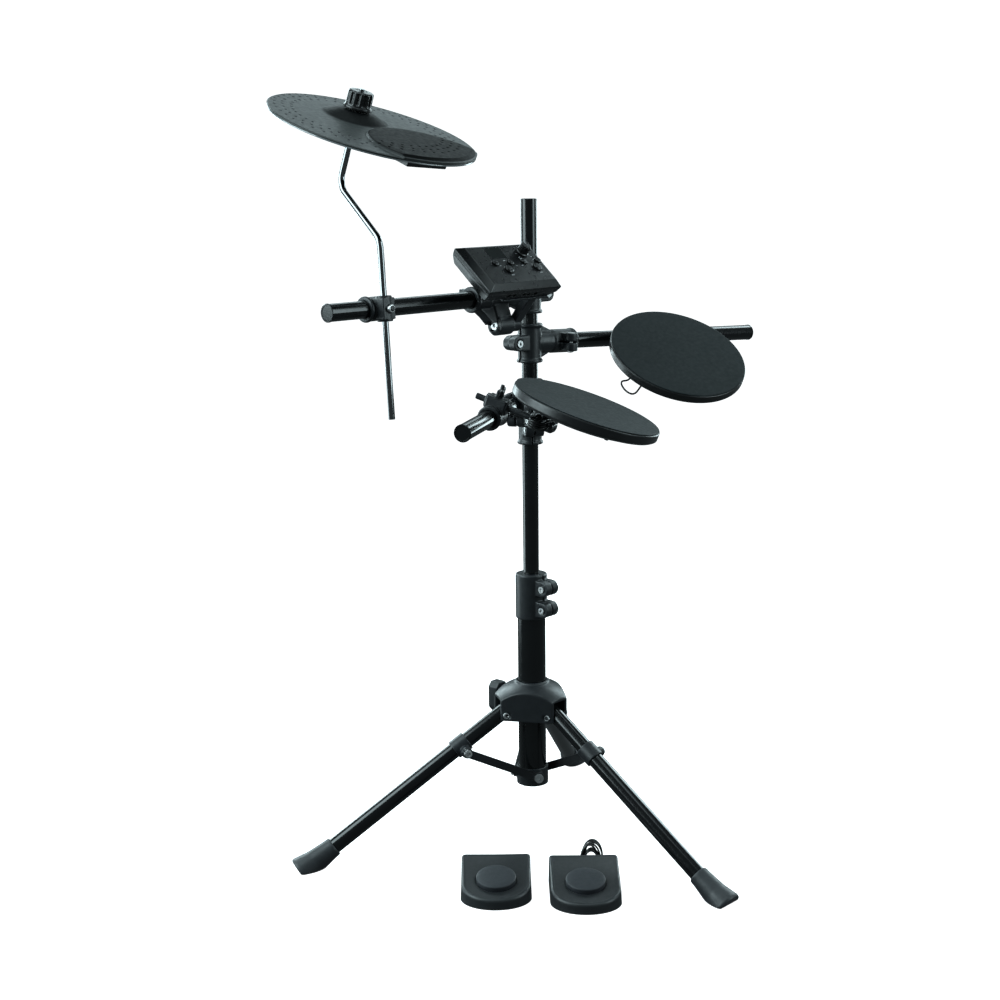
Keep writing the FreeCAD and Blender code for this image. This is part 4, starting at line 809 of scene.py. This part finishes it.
def pedal_case(side):
    depth = PED[side][2]
    slope = math.atan2(24.0, depth)
    n = 240
    ring = d_outline(depth, n)
    top = lambda y: 27.0 + y * math.tan(slope)
    rows = [(0.0, "out", 0.0, None), (0.15, "out", 0.9, None), (0.9, "out", None, 5.2), (1.2, "out", None, 3.2), (1.9, "out", None, 1.6), (3.1, "out", None, 0.55),
            (4.6, "out", None, 0.12), (6.4, "out", None, 0.05), (7.2, "out", None, 0.30), (8.0, "out", None, 0.34)]
    verts, faces, rings = [], [], []

    def put_ring(f):
        r_ = []
        for dx, dy, far in ring:
            r_.append(len(verts))
            verts.append(f(dx, dy, far))
        rings.append(r_)

    def wall(inset, zabs, below):
        def f(dx, dy, far):
            r = far - inset
            x, y = r * dx, -9.0 + r * dy
            return (x, y, zabs if zabs is not None else top(y) - below)
        return f

    for inset, _, zabs, below in rows:
        put_ring(wall(inset, zabs, below))
    for k in (0.5,):
        put_ring(lambda dx, dy, far: ((31.6 * (1 - k) + (far - 8.0) * k) * dx, -9.0 + (31.6 * (1 - k) + (far - 8.0) * k) * dy,
                                      top(-9.0 + (31.6 * (1 - k) + (far - 8.0) * k) * dy) - 0.34))

    def hole(r, below):
        # circle square to the sloped top
        def f(dx, dy, far):
            y = r * dy * math.cos(slope)
            return (r * dx, -9.0 + y + below * math.sin(slope), top(-9.0 + y) - 0.34 - below * math.cos(slope))
        return f

    for r, below in ((33.0, 0.0), (31.6, 0.05), (30.9, 0.4), (30.6, 1.0), (30.6, 2.6), (30.9, 2.8)):
        put_ring(hole(r, below))
    put_ring(wall(8.0, None, 3.2))
    put_ring(wall(4.2, None, 3.6))
    put_ring(wall(2.8, None, 7.0))
    put_ring(wall(2.4, 0.0, None))
    m = len(rings)
    for q in range(m):
        a, b = rings[q], rings[(q + 1) % m]
        for i in range(n):
            j = (i + 1) % n
            faces.append((a[i], a[j], b[j], b[i]))
    mx = ped_axes(side)
    body = "pedal_" + side
    piece(body + "_case", verts, faces, M["pedal_case"], body, mx, "moulding", 50.0, (body + "_shell",))
    # base plate with a rolled edge, and the post under the disc
    bv, bf, rr = [], [], []
    prof = ((3.7, 0.0), (3.0, 0.5), (3.0, 2.0), (3.5, 2.4))
    for inset, z in prof:
        r_ = []
        for dx, dy, far in ring:
            r_.append(len(bv))
            bv.append(((far - inset) * dx, -9.0 + (far - inset) * dy, z))
        rr.append(r_)
    for q in range(len(rr) - 1):
        for i in range(n):
            j = (i + 1) % n
            bf.append((rr[q][i], rr[q][j], rr[q + 1][j], rr[q + 1][i]))
    lo_c, hi_c = len(bv), len(bv) + 1
    bv += [(0.0, -9.0, 0.0), (0.0, -9.0, 2.4)]
    for i in range(n):
        j = (i + 1) % n
        bf.append((rr[0][j], rr[0][i], lo_c))
        bf.append((rr[-1][i], rr[-1][j], hi_c))
    piece(body + "_base", bv, bf, M["moulding"], body, mx, "moulding", 40.0)
    post = lathe([(0.0, 2.3), (12.0, 2.3), (12.0, 3.6), (11.2, 4.4), (11.2, 12.4), (10.4, 13.2), (0.0, 13.2)], 48)
    piece(body + "_post", *moved(post, Matrix.Translation((0.0, -9.0, 0.0))), M["bush"], body, mx, "bush")
    # disc: low dome with a rolled edge and a fine turned ring
    sp = Matrix.Translation((0.0, -9.0, 27.0 - 9.0 * math.tan(slope))) @ Matrix.Rotation(slope, 4, "X")
    R = 30.0
    dp = [(0.0, -6.0), (R + 2.4, -6.0), (R + 2.6, -5.7), (R + 2.6, -4.9), (R + 2.4, -4.6), (R, -4.6), (R, 4.4)] + arc(R - 2.4, 4.6, 2.4, 0, 70, 7)
    dp += [(R - 4.0, 7.35), (R - 7.0, 7.9), (R - 14.0, 8.3), (10.0, 8.5), (0.0, 8.6)]
    piece(body + "_disc_m", *moved(lathe(dp, 128), sp), M["disc_rubber"], "pedal_%s_disc" % side, mx, "head_rubber", 45.0, (body + "_disc",))
    if side == "left":
        jk = lathe([(3.8, 0.0), (5.4, 0.0), (5.4, 2.6), (4.9, 3.1), (3.8, 3.1)], 36)
        piece(body + "_socket", *moved(jk, Matrix.Translation((-34.0, depth / 2 - 2.6, 12.0)) @ Matrix.Rotation(rad(-90), 4, "X")), M["key_plastic"], body, mx)
    else:
        gp = Matrix.Translation((14.0, depth / 2 - 2.0, 12.0)) @ Matrix.Rotation(rad(90), 4, "X")
        pf = [(0.0, 0.4), (5.0, 0.4), (5.0, -2.6), (4.4, -3.2)]
        for i in range(3):
            a = -3.6 - i * 1.8
            pf += [(4.2 - 0.5 * i, a), (4.2 - 0.5 * i, a - 0.9), (3.7 - 0.5 * i, a - 1.1), (3.7 - 0.5 * i, a - 1.6)]
        pf += [(2.4, -9.0), (1.55, -9.0), (1.55, -6.0), (0.0, -6.0)]
        piece(body + "_gland", *moved(lathe(pf, 36), gp), M["moulding"], body, mx)


pedal_case("left")
pedal_case("right")

# ------------------------------------------------------ mouldings of the stand
BODY_OF = {n: b for b, ns in frame["record"]["behaviour"]["bodies"].items() for n in ns}
for n_, vx, rn in (("tripod_hub", 1.1, 6), ("height_clamp", 1.0, 6), ("base_collar", 1.0, 5), ("left_clamp", 1.0, 6), ("right_clamp", 1.0, 6),
                   ("snare_clamp", 1.0, 6), ("rod_clamp", 0.8, 5), ("tom_clamp", 0.8, 5), ("snare_pad_clamp", 0.8, 5), ("hub_lock_knob", 0.8, 6),
                   ("module_bracket", 0.9, 5)):
    moulded(n_, BODY_OF[n_], M["moulding"], vx, rn)
# socket screw that grips the cymbal rod
ROD_ARM = azv(184.4)
ROD_UP = Matrix.Rotation(rad(-3.7), 3, ROD_ARM) @ Vector((0, 0, 1))
if ROD_UP.y < 0:
    ROD_UP = Matrix.Rotation(rad(3.7), 3, ROD_ARM) @ Vector((0, 0, 1))
ROD_K = ROD_UP.cross(ROD_ARM).normalized()
if ROD_K.y > 0:
    ROD_K = -ROD_K
screw_at = Vector((0, 0, 876.6)) + ROD_ARM * 319.0 + ROD_K * 30.0
screw_mx = axes(K(*screw_at), ROD_ARM, ROD_K)
head_pf = [(0.0, 0.2), (5.1, 0.2), (5.45, 0.6), (5.45, 4.9), (5.1, 5.5), (4.5, 5.75), (3.1, 5.75), (2.75, 5.4), (2.75, 2.9), (0.0, 2.6)]
piece("rod_clamp_screw", *lathe(head_pf, 48, lambda t, r, z: r * (0.90 + 0.10 / math.cos((t % (math.pi / 3)) - math.pi / 6)) if r < 3.0 else r),
      M["zinc"], BODY_OF["rod_clamp"], screw_mx, None, 35.0)
# plated screws of the leg pivots and the strut pins
PIN = (50.0 + 85.0 * math.sin(rad(55.8)) - 6.0 * math.cos(rad(55.8)), 215.0 - 85.0 * math.cos(rad(55.8)) - 6.0 * math.sin(rad(55.8)))
for s_, a_ in (("left", 155.5), ("front", 275.5), ("rear", 35.5)):
    out_, side_ = azv(a_), azv(a_ + 90.0)
    m_ = axes(K(*(out_ * 50.0 + side_ * 18.2 + Vector((0, 0, 215.0)))), out_, side_)
    hp_ = [(0.0, 0.0), (5.5, 0.0), (5.5, 4.2), (5.1, 4.7), (4.6, 4.95), (3.0, 4.95), (2.7, 4.6), (2.7, 2.4), (0.0, 2.2)]
    piece("hub_screw_" + s_, *lathe(hp_, 48), M["zinc"], BODY_OF["tripod_hub"], m_, None, 35.0)
    m_ = axes(K(*(out_ * 50.0 - side_ * 18.2 + Vector((0, 0, 215.0)))), out_, -side_)
    np_ = [(0.0, 0.0), (5.25, 0.0), (5.25, 4.4), (4.8, 4.95), (3.5, 4.95), (3.4, 4.6), (3.4, 4.2), (0.0, 4.2)]
    piece("hub_nut_" + s_, *lathe(np_, 48, lambda t, r, z: r * (0.866 / math.cos((t % (math.pi / 3)) - math.pi / 6)) if r > 4.0 else r), M["zinc"], BODY_OF["tripod_hub"], m_, None, 25.0)
    m_ = axes(K(*(out_ * PIN[0] + side_ * 30.0 + Vector((0, 0, PIN[1])))), out_, side_)
    hp_ = [(0.0, 0.02), (6.6, 0.02), (6.6, 2.7), (6.1, 3.3), (5.4, 3.55), (3.1, 3.55), (2.8, 3.2), (2.8, 1.7), (0.0, 1.6)]
    piece("strut_pin_" + s_, *lathe(hp_, 48), M["zinc"], BODY_OF["strut_" + s_], m_, None, 35.0)
for s_ in ("left", "front", "rear"):
    moulded("leg_foot_" + s_, BODY_OF["leg_foot_" + s_], M["boot_rubber"], 0.9, 7)
    moulded("leg_bracket_" + s_, BODY_OF["leg_bracket_" + s_], M["moulding"], 0.7, 5)

# --------------------------------------------- finishes of the carried-over nodes
SLOT_OF = {p["node"]: p["material_slot"] for p in frame["record"]["subparts"]}
for n_, ob in frame["nodes"].items():
    m = M.get(SLOT_OF.get(n_), M["moulding"])
    if not ob.data.materials:
        ob.data.materials.append(m)
    for i in range(len(ob.material_slots)):
        ob.material_slots[i].link = "OBJECT"
        ob.material_slots[i].material = m

# -------------------------------------------------------- floor, light and view
def stage_mat():
    m = bpy.data.materials.new("studio_white")
    m.use_nodes = True
    nt = m.node_tree
    b = nt.nodes["Principled BSDF"]
    b.inputs["Base Color"].default_value = (0.80, 0.80, 0.80, 1.0)
    b.inputs["Roughness"].default_value = 0.9
    b.inputs["Specular IOR Level"].default_value = 0.1
    b.inputs["Emission Color"].default_value = (1.0, 1.0, 1.0, 1.0)
    b.inputs["Emission Strength"].default_value = 0.96
    return m


def studio():
    verts, faces = lathe([(0.0, 0.0), (1.0, 0.0), (3.4, 0.0)] + arc(3.4, 3.0, 3.0, -90, 0, 14)[1:] + [(6.4, 7.0)], 96)
    me = bpy.data.meshes.new("studio_floor")
    keep = [f for f in faces if not (any(verts[i][2] > 6.9 for i in f) and any(abs(verts[i][2]) < 1e-6 for i in f))]
    me.from_pydata(verts, [], keep)
    bm = bmesh.new()
    bm.from_mesh(me)
    bmesh.ops.recalc_face_normals(bm, faces=bm.faces)
    bmesh.ops.reverse_faces(bm, faces=bm.faces)
    bm.to_mesh(me)
    bm.free()
    me.polygons.foreach_set("use_smooth", [True] * len(me.polygons))
    me.materials.append(stage_mat())
    ob = bpy.data.objects.new("studio_floor", me)
    ob.location.z = -0.0006
    SC.collection.objects.link(ob)
    ob.visible_glossy = False
    ob.visible_diffuse = False


studio()


def soft_box(name, loc, target, sx, sy, power, colour=(1, 1, 1)):
    d = bpy.data.lights.new(name, "AREA")
    d.shape = "RECTANGLE"
    d.size, d.size_y = sx, sy
    d.energy = power
    d.color = colour
    o = bpy.data.objects.new(name, d)
    SC.collection.objects.link(o)
    v = Vector(target) - Vector(loc)
    o.location = loc
    o.rotation_mode = "QUATERNION"
    o.rotation_quaternion = v.to_track_quat("-Z", "Y")
    o.visible_camera = False
    return o


C0 = Vector((0.0, 0.0, 0.62))
left_dir, cam_dir = -c_right, -c_look
soft_box("key_left", C0 + left_dir * 2.25 + cam_dir * 0.75 + Vector((0, 0, 1.14)), C0, 1.9, 2.4, 88.0, (0.78, 0.96, 1.0))
soft_box("fill_right", C0 - left_dir * 2.35 + cam_dir * 0.75 + Vector((0, 0, 1.04)), C0, 1.3, 2.2, 38.0, (0.78, 0.96, 1.0))
soft_box("rim_left", C0 + left_dir * 1.5 - cam_dir * 2.2 + Vector((0, 0, 0.9)), C0, 0.8, 2.4, 50.0, (0.78, 0.96, 1.0))
soft_box("rim_right", C0 - left_dir * 1.7 - cam_dir * 2.0 + Vector((0, 0, 0.8)), C0, 0.8, 2.4, 44.0, (0.78, 0.96, 1.0))
soft_box("top", C0 + Vector((-0.35, -0.15, 2.6)), C0, 2.0, 2.0, 26.0, (0.78, 0.96, 1.0))
soft_box("back", C0 - cam_dir * 2.6 + Vector((0, 0, 1.72)), C0 + Vector((-0.2, 0, 0.45)), 2.4, 0.9, 13.0, (0.78, 0.96, 1.0))
soft_box("low_left", Vector((-1.02, 2.1, 0.30)), Vector((-0.16, 0.02, 0.93)), 1.2, 1.0, 15.0, (0.78, 0.96, 1.0))
w = bpy.data.worlds.new("studio_world") if SC.world is None else SC.world
SC.world = w
w.use_nodes = True
bg = w.node_tree.nodes.get("Background") or w.node_tree.nodes.new("ShaderNodeBackground")
bg.inputs["Color"].default_value = (0.78, 0.95, 1.0, 1.0)
bg.inputs["Strength"].default_value = 0.10
SC.view_settings.view_transform = "Standard"
SC.view_settings.look = "None"
SC.view_settings.exposure = 0.0

bpy.context.view_layer.update()
